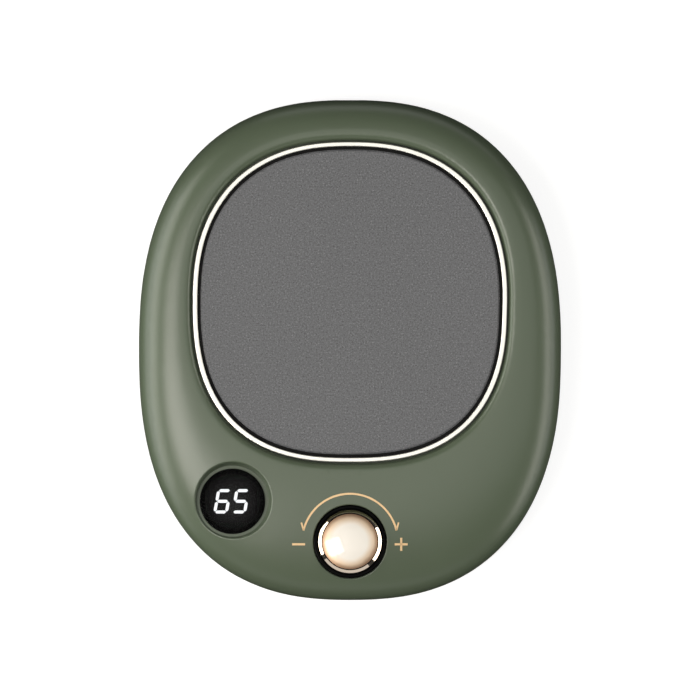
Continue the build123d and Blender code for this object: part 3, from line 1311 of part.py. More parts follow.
spring_height = PLUNGER_BOTTOM - WELL_FLOOR - 2 * SPRING_WIRE
with BuildPart() as push_spring:
    with BuildLine(Plane((0, KNOB_Y, WELL_FLOOR + SPRING_WIRE))) as spring_line:
        Helix(pitch=spring_height / SPRING_TURNS, height=spring_height, radius=SPRING_RADIUS)
    with BuildSketch(Plane(origin=spring_line.line @ 0, z_dir=spring_line.line % 0)):
        Circle(SPRING_WIRE)
    sweep(path=spring_line.line, is_frenet=True)
push_spring.part.label = "push_spring"
export_step(push_spring.part, "parts/push_spring.step")

with BuildPart() as encoder_pins:
    with Locations(*[(x, y, BOARD_BOTTOM - PIN_TAIL) for x, y in ENCODER_PINS]):
        Box(
            ENCODER_PIN_WIDTH,
            ENCODER_PIN_THICKNESS,
            PIN_TAIL + BOARD_THICKNESS + ENCODER_PIN_RISE,
            align=(Align.CENTER, Align.CENTER, Align.MIN),
        )
encoder_pins.part.label = "encoder_pins"
export_step(encoder_pins.part, "parts/encoder_pins.step")

# ---- knob: bezel ring, insert, skirt and domed cap ----
BEZEL_INNER = SKIRT_RADIUS + BEZEL_GAP
with BuildPart() as knob_bezel:
    with BuildSketch(Plane.XY.offset(KNOB_FLOOR)):
        with Locations((0, KNOB_Y)):
            Circle(BEZEL_RADIUS)
            Circle(BEZEL_INNER, mode=Mode.SUBTRACT)
    extrude(amount=BEZEL_TOP - KNOB_FLOOR)
    fillet(knob_bezel.edges().group_by(Axis.Z)[-1], BEZEL_ROUND)
    with BuildSketch(Plane.XY.offset(KNOB_FLOOR)):
        with Locations((0, KNOB_Y)):
            Circle((BEZEL_RADIUS + BEZEL_INNER) / 2)
            Circle(INSERT_CORE_RADIUS, mode=Mode.SUBTRACT)
    extrude(amount=BEZEL_FLOOR)
knob_bezel.part.label = "knob_bezel"
export_step(knob_bezel.part, "parts/knob_bezel.step")

with BuildPart() as knob_skirt:
    with BuildSketch(Plane((0, KNOB_Y, 0), x_dir=(1, 0, 0), z_dir=(0, -1, 0))):
        with BuildLine():
            Polyline(
                (SKIRT_RADIUS - SKIRT_WALL, KNOB_BOTTOM),
                (SKIRT_RADIUS, KNOB_BOTTOM),
                (SKIRT_RADIUS, SKIRT_TOP - SKIRT_BEVEL_DROP),
                (SKIRT_RADIUS - SKIRT_BEVEL_WIDTH, SKIRT_TOP),
                (SKIRT_RADIUS - SKIRT_BEVEL_WIDTH, SKIRT_TOP - SKIRT_GROOVE_DEPTH),
                (SKIRT_RADIUS - SKIRT_WALL, SKIRT_TOP - SKIRT_GROOVE_DEPTH),
                close=True,
            )
        make_face()
    revolve(axis=Axis((0, KNOB_Y, 0), (0, 0, 1)))
knob_skirt.part.label = "knob_skirt"
export_step(knob_skirt.part, "parts/knob_skirt.step")

with BuildPart() as knob_insert:
    with Locations((0, KNOB_Y, KNOB_BOTTOM)):
        Cylinder(INSERT_CORE_RADIUS, SKIRT_HEIGHT, align=(Align.CENTER, Align.CENTER, Align.MIN))
    with Locations((0, KNOB_Y, SKIRT_TOP)):
        Cylinder(SKIRT_RADIUS - SKIRT_WALL, INSERT_WEB, align=(Align.CENTER, Align.CENTER, Align.MAX))
        Cylinder(
            INSERT_TOP_RADIUS,
            SHAFT_ENTRY + SHAFT_TIP_GAP,
            align=(Align.CENTER, Align.CENTER, Align.MIN),
        )
    extrude(
        flat_round(SHAFT_RADIUS + INSERT_EASE, SHAFT_FLAT + INSERT_EASE, KNOB_BOTTOM),
        amount=SHAFT_TOP - KNOB_BOTTOM,
        mode=Mode.SUBTRACT,
    )
    with Locations((0, KNOB_Y, SHAFT_FLAT_BOTTOM)):
        Cylinder(
            SHAFT_RADIUS + INSERT_EASE,
            THROUGH,
            align=(Align.CENTER, Align.CENTER, Align.MAX),
            mode=Mode.SUBTRACT,
        )
knob_insert.part.label = "knob_insert"
export_step(knob_insert.part, "parts/knob_insert.step")

DOME_BOTTOM = KNOB_TOP - DOME_RISE
DOME_RADIUS = (CAP_RADIUS**2 + DOME_RISE**2) / (2 * DOME_RISE)
DOME_MIDDLE = KNOB_TOP - DOME_RADIUS + sqrt(DOME_RADIUS**2 - CAP_RADIUS**2 / 4)
with BuildPart() as knob_cap:
    with BuildSketch(Plane((0, KNOB_Y, 0), x_dir=(1, 0, 0), z_dir=(0, -1, 0))) as cap_sketch:
        with BuildLine():
            Polyline((0, KNOB_TOP), (0, SKIRT_TOP), (CAP_RADIUS, SKIRT_TOP), (CAP_RADIUS, DOME_BOTTOM))
            ThreePointArc((CAP_RADIUS, DOME_BOTTOM), (CAP_RADIUS / 2, DOME_MIDDLE), (0, KNOB_TOP))
        make_face()
        rim = cap_sketch.vertices().group_by(Axis.X)[-1]
        fillet(rim.sort_by(Axis.Z)[-1], CAP_ROUND)
        chamfer(rim.sort_by(Axis.Z)[0], CAP_CHAMFER)
    revolve(axis=Axis((0, KNOB_Y, 0), (0, 0, 1)))
    with Locations((0, KNOB_Y, SKIRT_TOP)):
        Cylinder(
            INSERT_TOP_RADIUS,
            SHAFT_ENTRY + SHAFT_TIP_GAP,
            align=(Align.CENTER, Align.CENTER, Align.MIN),
            mode=Mode.SUBTRACT,
        )
knob_cap.part.label = "knob_cap"
export_step(knob_cap.part, "parts/knob_cap.step")
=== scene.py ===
import json
import math

import bpy
import numpy as np
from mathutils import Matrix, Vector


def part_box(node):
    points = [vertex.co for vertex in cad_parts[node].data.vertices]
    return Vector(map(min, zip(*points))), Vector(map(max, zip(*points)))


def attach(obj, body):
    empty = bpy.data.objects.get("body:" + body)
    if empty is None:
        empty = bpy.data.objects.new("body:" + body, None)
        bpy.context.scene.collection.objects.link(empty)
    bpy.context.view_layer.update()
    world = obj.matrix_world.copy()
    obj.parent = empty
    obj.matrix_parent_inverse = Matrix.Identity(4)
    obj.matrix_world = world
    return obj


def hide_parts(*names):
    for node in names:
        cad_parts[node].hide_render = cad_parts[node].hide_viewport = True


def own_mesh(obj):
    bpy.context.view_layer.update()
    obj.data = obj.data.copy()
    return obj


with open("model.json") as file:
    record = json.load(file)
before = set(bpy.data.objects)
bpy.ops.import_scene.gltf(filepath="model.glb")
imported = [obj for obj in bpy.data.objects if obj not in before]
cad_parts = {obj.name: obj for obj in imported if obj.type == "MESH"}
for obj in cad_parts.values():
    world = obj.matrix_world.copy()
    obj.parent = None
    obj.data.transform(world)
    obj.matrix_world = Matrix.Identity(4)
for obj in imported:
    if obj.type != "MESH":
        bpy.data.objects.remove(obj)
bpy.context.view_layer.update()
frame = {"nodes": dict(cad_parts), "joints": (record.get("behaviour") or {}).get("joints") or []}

nodes = frame["nodes"]
joints = {joint["name"]: joint for joint in frame["joints"]}
knobCentre = joints["knob_turn"]["pos_m"][:2]
mm = 0.001
print("frame loaded:", len(nodes), "pieces")


# small helpers for shader nodes

noiseSpan = (0.3, 0.7)  # noise lies mostly between these two values


def emptyMaterial(name):
    material = bpy.data.materials.new(name)
    material.use_nodes = True
    tree = material.node_tree
    return material, tree, tree.nodes["Principled BSDF"]


def addNode(tree, kind, **settings):
    node = tree.nodes.new(kind)
    for key, value in settings.items():
        setattr(node, key, value)
    return node


def objectPlace(tree, stretch=(1, 1, 1), centre=(0, 0, 0), turn=0.0):
    # object coordinates, moved to a centre, stretched along each axis and turned about Z
    coordinates = addNode(tree, "ShaderNodeTexCoord")
    shift = addNode(tree, "ShaderNodeMapping", vector_type="POINT")
    shift.inputs["Location"].default_value = [-value for value in centre]
    mapping = addNode(tree, "ShaderNodeMapping", vector_type="POINT")
    mapping.inputs["Scale"].default_value = stretch
    mapping.inputs["Rotation"].default_value = (0, 0, turn)
    tree.links.new(coordinates.outputs["Object"], shift.inputs["Vector"])
    tree.links.new(shift.outputs["Vector"], mapping.inputs["Vector"])
    return mapping.outputs["Vector"]


def axisDistance(tree, centre):
    # distance from an upright axis through a centre
    flat = addNode(tree, "ShaderNodeVectorMath", operation="MULTIPLY")
    flat.inputs[1].default_value = (1, 1, 0)
    tree.links.new(objectPlace(tree, centre=(*centre, 0)), flat.inputs[0])
    distance = addNode(tree, "ShaderNodeVectorMath", operation="LENGTH")
    tree.links.new(flat.outputs[0], distance.inputs[0])
    return distance.outputs["Value"]


def noiseValue(tree, place, scale, detail=3, roughness=0.5):
    noise = addNode(tree, "ShaderNodeTexNoise")
    noise.inputs["Scale"].default_value = scale
    noise.inputs["Detail"].default_value = detail
    noise.inputs["Roughness"].default_value = roughness
    tree.links.new(place, noise.inputs["Vector"])
    return noise.outputs["Fac"]


def mathValue(tree, operation, first, second):
    # one step of arithmetic on a value, with another value or with a plain number
    step = addNode(tree, "ShaderNodeMath", operation=operation)
    tree.links.new(first, step.inputs[0])
    if isinstance(second, bpy.types.NodeSocket):
        tree.links.new(second, step.inputs[1])
    else:
        step.inputs[1].default_value = second
    return step.outputs["Value"]


def carried(tree, value, fromSpan, toSpan=(0, 1)):
    # carries a value from one span to another and holds it at the ends
    carry = addNode(tree, "ShaderNodeMapRange")
    for end, number in zip(("From Min", "From Max", "To Min", "To Max"), (*fromSpan, *toSpan)):
        carry.inputs[end].default_value = number
    tree.links.new(value, carry.inputs["Value"])
    return carry.outputs["Result"]


def spread(tree, noise, span):
    # gives noise a span of its own
    return carried(tree, noise, noiseSpan, span)


def rampColor(tree, value, stops):
    # each stop is a value and the colour there
    ramp = addNode(tree, "ShaderNodeValToRGB")
    elements = ramp.color_ramp.elements
    while len(elements) < len(stops):
        elements.new(0.5)  # its own place follows
    for element, (position, color) in zip(elements, stops):
        element.position = position
        element.color = (*color, 1)
    tree.links.new(value, ramp.inputs["Fac"])
    return ramp.outputs["Color"]


def nearbyTones(tree, noise, color, darker, lighter):
    # one colour that runs with the noise from a darker tone to a lighter one
    color = np.array(color)
    low, high = noiseSpan
    return rampColor(tree, noise, [(low, color * (1 - darker)), (high, color * (1 + lighter))])


def addBump(tree, shader, height, depth):
    # the depth is in millimetres
    bump = addNode(tree, "ShaderNodeBump")
    bump.inputs["Distance"].default_value = depth * mm
    tree.links.new(height, bump.inputs["Height"])
    tree.links.new(bump.outputs["Normal"], shader.inputs["Normal"])


# the shader's own sockets: the key in a look, and the value where a look has none
shaderSettings = {
    "Metallic": ("metallic", 0.0),
    "Specular IOR Level": ("specular", 0.5),
    "Coat Weight": ("coat", 0.0),
    "Coat Roughness": ("coatRoughness", 0.1),
    "Sheen Weight": ("sheen", 0.0),
}


def setShader(shader, look):
    for socket, (key, usual) in shaderSettings.items():
        shader.inputs[socket].default_value = look.get(key, usual)


grainedUsual = {"stretch": (1, 1, 1), "patchScale": 60, "grainScale": 2500, "colorShift": 0.06, "bump": 0.02}


def grained(name, look):
    # one moulded, cast or coated finish: two nearby tones in soft patches,
    # roughness that drifts a little, and a fine raised grain
    look = grainedUsual | look
    material, tree, shader = emptyMaterial(name)
    place = objectPlace(tree, look["stretch"])
    patches = noiseValue(tree, place, look["patchScale"], detail=4)
    grain = noiseValue(tree, place, look["grainScale"], detail=2)
    shift = look["colorShift"]
    tree.links.new(nearbyTones(tree, patches, look["color"], shift, shift), shader.inputs["Base Color"])
    tree.links.new(spread(tree, grain, look["roughness"]), shader.inputs["Roughness"])
    setShader(shader, look)
    addBump(tree, shader, grain, look["bump"])
    return material


platedUsual = {
    "metallic": 1.0,
    "lineScale": 900,
    "lineStretch": (1, 14, 14),
    "lineTurn": 0.4,
    "colorShift": 0.03,
    "bump": 0.0006,
}


def plated(name, look):
    # polished plating: fine hairlines along one direction and faint clouding
    look = platedUsual | look
    material, tree, shader = emptyMaterial(name)
    clouds = noiseValue(tree, objectPlace(tree), look["cloudScale"])
    linePlace = objectPlace(tree, look["lineStretch"], turn=look["lineTurn"])
    hairlines = noiseValue(tree, linePlace, look["lineScale"], detail=2)
    shift = look["colorShift"]
    tree.links.new(nearbyTones(tree, clouds, look["color"], shift, shift / 2), shader.inputs["Base Color"])
    tree.links.new(spread(tree, hairlines, look["roughness"]), shader.inputs["Roughness"])
    setShader(shader, look)
    addBump(tree, shader, hairlines, look["bump"])
    return material


def dress(material, *names):
    for name in names:
        slots = nodes[name].data.materials
        if len(slots) == 0:
            slots.append(material)
        for index in range(len(slots)):
            slots[index] = material


# case: satin olive paint over moulded plastic, dark underside, rubber feet

shellLook = {
    "color": (0.077, 0.099, 0.064),
    "colorShift": 0.02,
    "patchScale": 30,
    "grainScale": 4200,
    "roughness": (0.31, 0.37),
    "bump": 0.004,
    "specular": 0.5,
}
dress(grained("oliveShell", shellLook), "upper_shell")

baseLook = {
    "color": (0.020, 0.021, 0.018),
    "colorShift": 0.10,
    "patchScale": 40,
    "grainScale": 2600,
    "roughness": (0.48, 0.66),
    "bump": 0.03,
    "specular": 0.35,
}
dress(grained("darkBase", baseLook), "base_cover")

footLook = {
    "color": (0.030, 0.030, 0.030),
    "colorShift": 0.15,
    "patchScale": 220,
    "grainScale": 3200,
    "roughness": (0.70, 0.90),
    "bump": 0.05,
    "specular": 0.3,
    "sheen": 0.15,
}
dress(grained("footRubber", footLook), "rubber_feet")
print("case finished")


# heating plate: grey speckled print on an etched glass face, with a bevel round it

plateLook = {
    "tones": [
        (0.33, (0.032, 0.032, 0.034)),
        (0.47, (0.109, 0.111, 0.119)),
        (0.55, (0.109, 0.111, 0.119)),
        (0.70, (0.262, 0.268, 0.276)),
    ],
    "coarseScale": 1900,
    "fineScale": 5200,
    "coarseShare": 0.55,
    "cloudScale": 28,
    "roughness": (0.42, 0.56),
    "bevel": (0.14, 0.04),  # mm below the face: bevel gloss up to the first, face gloss from the second
    "bevelRoughness": 0.20,
    "specular": 0.30,
    "bump": 0.006,
}


def speckledPlate(name, look):
    # broad grey with light and dark specks of two sizes, as in a metallic screen print
    material, tree, shader = emptyMaterial(name)
    place = objectPlace(tree)
    coarse = noiseValue(tree, place, look["coarseScale"], detail=2, roughness=0.7)
    fine = noiseValue(tree, place, look["fineScale"], detail=1, roughness=0.6)
    cloud = noiseValue(tree, place, look["cloudScale"], detail=2)
    coarsePart = mathValue(tree, "MULTIPLY", coarse, look["coarseShare"])
    finePart = mathValue(tree, "MULTIPLY", fine, 1 - look["coarseShare"])
    specks = mathValue(tree, "ADD", coarsePart, finePart)
    tree.links.new(rampColor(tree, specks, look["tones"]), shader.inputs["Base Color"])
    # the bevel is smoother than the face, so it catches the light
    axes = addNode(tree, "ShaderNodeSeparateXYZ")
    tree.links.new(place, axes.inputs["Vector"])
    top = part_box("heating_plate")[1][2]
    face = carried(tree, axes.outputs["Z"], [top - drop * mm for drop in look["bevel"]])
    gloss = addNode(tree, "ShaderNodeMix", data_type="FLOAT")
    gloss.inputs["A"].default_value = look["bevelRoughness"]
    tree.links.new(face, gloss.inputs["Factor"])
    tree.links.new(spread(tree, cloud, look["roughness"]), gloss.inputs["B"])
    tree.links.new(gloss.outputs["Result"], shader.inputs["Roughness"])
    setShader(shader, look)
    addBump(tree, shader, fine, look["bump"])
    return material


dress(speckledPlate("printedGlass", plateLook), "heating_plate")

ringLook = {"color": (0.74, 0.73, 0.68), "roughness": (0.30, 0.42), "cloudScale": 60}
dress(plated("champagneTrim", ringLook), "trim_ring")

gasketLook = {
    "color": (0.006, 0.006, 0.006),
    "colorShift": 0.2,
    "patchScale": 300,
    "grainScale": 2500,
    "roughness": (0.55, 0.75),
    "bump": 0.01,
    "specular": 0.06,
}
dress(grained("blackSilicone", gasketLook), "plate_gasket", "display_tape")
print("heating plate finished")


# knob: polished skirt, satin cap, gloss black bezel

capLook = {
    "reach": 9.0,
    # painted light and shade: pale cream where the dome is lit, dark brown at the shaded rim
    "tones": [  # at a share of the reach
        (0.0, (0.80, 0.755, 0.69)),
        (0.58, (0.80, 0.755, 0.69)),
        (0.80, (0.76, 0.585, 0.42)),
        (0.92, (0.42, 0.26, 0.165)),
    ],
    "metal": [(0.64, 0.0), (0.90, 0.80)],
    "cloudScale": 240,
    "drift": (-0.015, 0.015),
    "grainScale": 5200,
    "roughness": (0.42, 0.50),
    "specular": 0.15,
    "coat": 0.80,
    "coatRoughness": 0.02,
    "bump": 0.0015,
}


def capWithPaintedShading(name, look):
    # pearly satin plating, more metallic towards the side; by the distance from the knob's own axis its
    # colour is painted light and shade: palest on the dome, deepening to dark brown at the rim
    material, tree, shader = emptyMaterial(name)
    place = objectPlace(tree)
    share = carried(tree, axisDistance(tree, knobCentre), (0, look["reach"] * mm))
    clouds = noiseValue(tree, place, look["cloudScale"])
    wandering = mathValue(tree, "ADD", share, spread(tree, clouds, look["drift"]))
    tree.links.new(rampColor(tree, wandering, look["tones"]), shader.inputs["Base Color"])
    metalStops = [(position, (amount,) * 3) for position, amount in look["metal"]]
    tree.links.new(rampColor(tree, wandering, metalStops), shader.inputs["Metallic"])
    grain = noiseValue(tree, place, look["grainScale"], detail=2)
    tree.links.new(spread(tree, grain, look["roughness"]), shader.inputs["Roughness"])
    setShader(shader, look)
    addBump(tree, shader, grain, look["bump"])
    return material


dress(capWithPaintedShading("champagneCap", capLook), "knob_cap")

skirtLook = {
    "color": (0.93, 0.79, 0.64),
    # painted shade: the groove's near-black colour
    "groove": (0.006, 0.005, 0.004),
    "grooveReach": 8.82,
    "roughness": (0.05, 0.09),
    "cloudScale": 200,
}


def skirtWithPaintedGrooveShade(name, look):
    # the polished plating, with the narrow groove under the cap painted near-black as its shade
    material = plated(name, look)
    tree = material.node_tree
    shader = tree.nodes["Principled BSDF"]
    plating = shader.inputs["Base Color"].links[0].from_socket
    outside = mathValue(tree, "GREATER_THAN", axisDistance(tree, knobCentre), look["grooveReach"] * mm)
    paint = addNode(tree, "ShaderNodeMix", data_type="RGBA")
    grooveShadeColor, secondColor, result = paint.inputs[6], paint.inputs[7], paint.outputs[2]  # its colour sockets
    grooveShadeColor.default_value = (*look["groove"], 1)
    tree.links.new(outside, paint.inputs["Factor"])
    tree.links.new(plating, secondColor)
    tree.links.new(result, shader.inputs["Base Color"])
    return material


dress(skirtWithPaintedGrooveShade("champagneSkirt", skirtLook), "knob_skirt")

bezelLook = {
    "color": (0.002, 0.002, 0.002),
    "colorShift": 0.15,
    "patchScale": 150,
    "grainScale": 1800,
    "roughness": (0.10, 0.16),
    "bump": 0.001,
    "specular": 0.03,
}
dress(grained("blackBezel", bezelLook), "knob_bezel")
print("knob finished")


# display: smoked window over a black module with white lit bars

windowLook = {
    "reach": 10.0,
    # painted glow from the digits: lighter over them, near-black at the rim
    "tones": [(0.25, (0.022, 0.022, 0.023)), (0.92, (0.001, 0.001, 0.001))],  # at a share of the reach
    "glowWobbleScale": 1800,
    "glowWobble": (-0.4, 0.4),
    "wipeScale": 260,
    "wipeStretch": (3, 1, 1),
    "wipeTurn": 0.7,
    "roughness": (0.03, 0.07),
    "clearness": 0.35,
    "specular": 0.05,
    "bump": 0.00004,
}


def smokedWindowPaintedGlow(name, look):
    # dark window that lets a little light through; its colour is lighter over the digits, a painted glow from
    # them, and darker towards its rim, with faint wipe marks in its gloss
    material, tree, shader = emptyMaterial(name)
    wipePlace = objectPlace(tree, look["wipeStretch"], turn=look["wipeTurn"])
    wipes = noiseValue(tree, wipePlace, look["wipeScale"])
    tree.links.new(spread(tree, wipes, look["roughness"]), shader.inputs["Roughness"])
    low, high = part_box("display_window")
    centre = ((low[0] + high[0]) / 2, (low[1] + high[1]) / 2)
    # the noise wobbles the edge of the painted glow
    glowWobbleNoise = noiseValue(tree, objectPlace(tree), look["glowWobbleScale"], detail=2)
    glowWobble = spread(tree, glowWobbleNoise, [shift * mm for shift in look["glowWobble"]])
    wandering = mathValue(tree, "ADD", axisDistance(tree, centre), glowWobble)
    share = carried(tree, wandering, (0, look["reach"] * mm))
    tree.links.new(rampColor(tree, share, look["tones"]), shader.inputs["Base Color"])
    shader.inputs["Alpha"].default_value = 1 - look["clearness"]
    setShader(shader, look)
    addBump(tree, shader, wipes, look["bump"])
    return material


dress(smokedWindowPaintedGlow("smokedWindowPaintedGlow", windowLook), "display_window")

litLook = {
    "color": (0.96, 0.98, 1.0),
    "dimmer": 0.1,
    "glowScale": 900,
    "roughness": 0.6,
    "strength": 9.5,
}


def litBars(name, look):
    # white diffuser bars lit from behind, a little dimmer in patches
    material, tree, shader = emptyMaterial(name)
    glow = noiseValue(tree, objectPlace(tree), look["glowScale"], detail=2)
    glowColor = nearbyTones(tree, glow, look["color"], look["dimmer"], 0)
    tree.links.new(glowColor, shader.inputs["Base Color"])
    tree.links.new(glowColor, shader.inputs["Emission Color"])
    shader.inputs["Emission Strength"].default_value = look["strength"]
    shader.inputs["Roughness"].default_value = look["roughness"]
    return material


dress(litBars("litBars", litLook), "lit_segments")

moduleLook = {
    "color": (0.006, 0.006, 0.006),
    "colorShift": 0.15,
    "patchScale": 250,
    "grainScale": 2600,
    "roughness": (0.62, 0.8),
    "bump": 0.006,
    "specular": 0.1,
}
unlitLook = dict(moduleLook, color=(0.010, 0.010, 0.010))
dress(grained("moduleBlack", moduleLook), "display_module")
dress(grained("unlitBars", unlitLook), "unlit_segments")
print("display finished")


# everything inside and below: each finish by its own colour, grain and gloss

innerLooks = {
    "screwSteel": {
        "pieces": ["case_screws", "retaining_screws", "board_screws", "inlet_board_screws"],
        "color": (0.22, 0.22, 0.225),
        "metallic": 1.0,
        "roughness": (0.28, 0.42),
        "grainScale": 1500,
    },
    "millAluminium": {
        "pieces": ["heat_spreader", "capacitor", "encoder_shaft"],
        "color": (0.70, 0.70, 0.71),
        "metallic": 1.0,
        "roughness": (0.30, 0.45),
        "stretch": (1, 12, 1),
        "grainScale": 700,
    },
    "amberFilm": {
        "pieces": ["heater_film"],
        "color": (0.42, 0.16, 0.02),
        "roughness": (0.18, 0.28),
        "grainScale": 900,
        "coat": 0.5,
    },
    "whiteFelt": {
        "pieces": ["insulation_pad"],
        "color": (0.66, 0.63, 0.57),
        "roughness": (0.85, 1.0),
        "grainScale": 1400,
        "bump": 0.25,
        "sheen": 0.4,
    },
    "zincSheet": {
        "pieces": ["retaining_plate", "encoder_housing", "push_spring"],
        "color": (0.42, 0.42, 0.43),
        "metallic": 1.0,
        "roughness": (0.30, 0.48),
        "stretch": (10, 1, 1),
        "grainScale": 500,
    },
    "plainBrass": {
        "pieces": ["heater_tabs", "push_plunger"],
        "color": (0.62, 0.42, 0.15),
        "metallic": 1.0,
        "roughness": (0.22, 0.36),
        "grainScale": 1100,
    },
    "mouldedBlack": {
        "pieces": [
            "thermal_cutout", "temperature_sensor", "controller_chip",
            "power_transistor", "buzzer", "inlet_body",
        ],
        "color": (0.012, 0.012, 0.012),
        "roughness": (0.35, 0.5),
        "grainScale": 2200,
        "bump": 0.012,
    },
    "whiteSleeve": {
        "pieces": ["heater_leads"],
        "color": (0.70, 0.70, 0.67),
        "roughness": (0.4, 0.55),
        "grainScale": 1500,
    },
    "redSleeve": {
        "pieces": ["cutout_leads"],
        "color": (0.38, 0.012, 0.008),
        "roughness": (0.4, 0.55),
        "grainScale": 1500,
    },
    "blackSleeve": {
        "pieces": ["sensor_leads", "supply_leads"],
        "color": (0.010, 0.010, 0.010),
        "roughness": (0.4, 0.55),
        "grainScale": 1500,
    },
    "tinPlate": {
        "pieces": ["chip_legs", "inlet_pin", "inlet_spring", "inlet_tails", "display_pins", "encoder_pins"],
        "color": (0.66, 0.66, 0.67),
        "metallic": 1.0,
        "roughness": (0.18, 0.32),
        "grainScale": 1300,
    },
    "greyFerrite": {
        "pieces": ["inductor", "chip_parts"],
        "color": (0.085, 0.088, 0.092),
        "roughness": (0.5, 0.7),
        "grainScale": 1800,
        "bump": 0.03,
    },
    "ivoryNylon": {
        "pieces": ["harness_socket", "harness_plug", "supply_socket", "supply_plug"],
        "color": (0.72, 0.69, 0.60),
        "roughness": (0.35, 0.5),
        "grainScale": 1800,
    },
    "brownLaminate": {
        "pieces": ["encoder_base"],
        "color": (0.13, 0.055, 0.022),
        "roughness": (0.4, 0.6),
        "stretch": (1, 6, 1),
        "grainScale": 1200,
    },
    "whiteAcetal": {
        "pieces": ["encoder_rotor", "knob_insert"],
        "color": (0.78, 0.78, 0.76),
        "roughness": (0.35, 0.5),
        "grainScale": 1600,
    },
}
for finishName, innerLook in innerLooks.items():
    dress(grained(finishName, innerLook), *innerLook["pieces"])

boardLook = {
    "tones": [
        (0.0, (0.008, 0.085, 0.030)),
        (0.10, (0.008, 0.085, 0.030)),
        (0.13, (0.020, 0.150, 0.055)),
        (1.0, (0.020, 0.150, 0.055)),
    ],
    "cellScale": 260,
    "grainScale": 1200,
    "roughness": (0.22, 0.35),
    "bump": 0.02,
}


def circuitBoard(name, look):
    # green solder mask, darker along the gaps between copper areas
    material, tree, shader = emptyMaterial(name)
    place = objectPlace(tree)
    cells = addNode(tree, "ShaderNodeTexVoronoi", distance="MANHATTAN", feature="DISTANCE_TO_EDGE")
    cells.inputs["Scale"].default_value = look["cellScale"]
    tree.links.new(place, cells.inputs["Vector"])
    tree.links.new(rampColor(tree, cells.outputs["Distance"], look["tones"]), shader.inputs["Base Color"])
    grain = noiseValue(tree, place, look["grainScale"], detail=2)
    tree.links.new(spread(tree, grain, look["roughness"]), shader.inputs["Roughness"])
    addBump(tree, shader, cells.outputs["Distance"], look["bump"])
    return material


dress(circuitBoard("greenBoard", boardLook), "control_board", "inlet_board")
print("inner pieces finished")


# helpers for new pieces

def placeInScene(name, data):
    piece = bpy.data.objects.new(name, data)
    bpy.context.scene.collection.objects.link(piece)
    return piece


def meshPiece(name, points, faces, material):
    mesh = bpy.data.meshes.new(name)
    mesh.from_pydata(points.tolist(), [], faces)
    mesh.materials.append(material)
    return placeInScene(name, mesh)


def freezeMesh(piece):
    # keeps the shape that the modifiers give and drops the modifiers
    bpy.context.view_layer.update()
    evaluated = piece.evaluated_get(bpy.context.evaluated_depsgraph_get())
    settled = bpy.data.meshes.new_from_object(evaluated)
    settled.name = piece.name
    piece.modifiers.clear()
    piece.data = settled


# printed marks: a double-ended arc over the knob, a minus and a plus

goldLook = {
    "color": (0.72, 0.49, 0.26),
    "colorShift": 0.05,
    "patchScale": 400,
    "grainScale": 6000,
    "roughness": (0.42, 0.55),
    "bump": 0.002,
    "specular": 0.4,
}
goldPrint = grained("goldPrint", goldLook)

printLook = {
    "arcRadius": 14.72,
    "arcSpan": (13.4, 166.6),  # degrees, round from the right
    "arcSteps": 161,
    "arcStroke": 0.60,
    "barb": (0.65, 2.45),  # how far a barb's end lies outwards and back from the arc's tip
    "barbStroke": 0.50,
    "minusX": -15.83,
    "plusX": 15.77,
    "signY": -59.84,
    "signSpan": 4.0,
    "signStroke": 0.66,
    "dropFrom": 40,  # above the whole object
    "inkRise": 0.03,
    "inkBody": 0.048,  # the rise and what is sunk in the shell
}


def inkRibbon(path, width, across=5):
    # flat ribbon: every path point gives a row of points across the width,
    # set out along the path's own sideways direction
    along = np.gradient(path, axis=0)
    along /= np.linalg.norm(along, axis=1)[:, None]
    sideways = np.stack([-along[:, 1], along[:, 0]], axis=1)
    shares = np.linspace(-0.5, 0.5, across)
    return path[:, None, :] + sideways[:, None, :] * (shares * width)[None, :, None]


def gridFaces(rows, columns):
    # corner numbers of each cell of a rows by columns grid, counter-clockwise from above
    first = (np.arange(rows - 1)[:, None] * columns + np.arange(columns - 1)[None, :]).ravel()
    return np.stack([first, first + columns, first + columns + 1, first + 1], axis=1).tolist()


def layOnShell(name, grid, look):
    # drops a flat grid straight down onto the shell and gives it the ink's thickness
    rows, columns = grid.shape[:2]
    flat = grid.reshape(-1, 2)
    points = np.column_stack([flat, np.full(len(flat), look["dropFrom"])]) * mm
    piece = meshPiece(name, points, gridFaces(rows, columns), goldPrint)
    drop = piece.modifiers.new("drop", "SHRINKWRAP")
    drop.target = nodes["upper_shell"]
    drop.wrap_method = "PROJECT"
    drop.use_project_z = True
    drop.use_negative_direction = True
    drop.use_positive_direction = False
    freezeMesh(piece)
    lifted = np.empty(len(piece.data.vertices) * 3)
    piece.data.vertices.foreach_get("co", lifted)
    lifted[2::3] += look["inkRise"] * mm
    piece.data.vertices.foreach_set("co", lifted)
    body = piece.modifiers.new("ink", "SOLIDIFY")
    body.thickness = look["inkBody"] * mm
    body.offset = -1
    freezeMesh(piece)
    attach(piece, "case")


def straightPath(start, end, count=24):
    # points at even shares of the way from start to end
    shares = np.linspace(0, 1, count)[:, None]
    return np.array(start) + (np.array(end) - np.array(start)) * shares


arcAngles = np.radians(np.linspace(*printLook["arcSpan"], printLook["arcSteps"]))
arcRound = np.column_stack([np.cos(arcAngles), np.sin(arcAngles)])
arcPath = np.array(knobCentre) / mm + printLook["arcRadius"] * arcRound
layOnShell("turn_arc", inkRibbon(arcPath, printLook["arcStroke"]), printLook)

barbOut, barbBack = printLook["barb"]
for side, tip, outward in (("left", arcPath[-1], -1), ("right", arcPath[0], 1)):
    barbPath = straightPath(tip, tip + np.array([outward * barbOut, barbBack]))
    layOnShell("turn_barb_" + side, inkRibbon(barbPath, printLook["barbStroke"]), printLook)

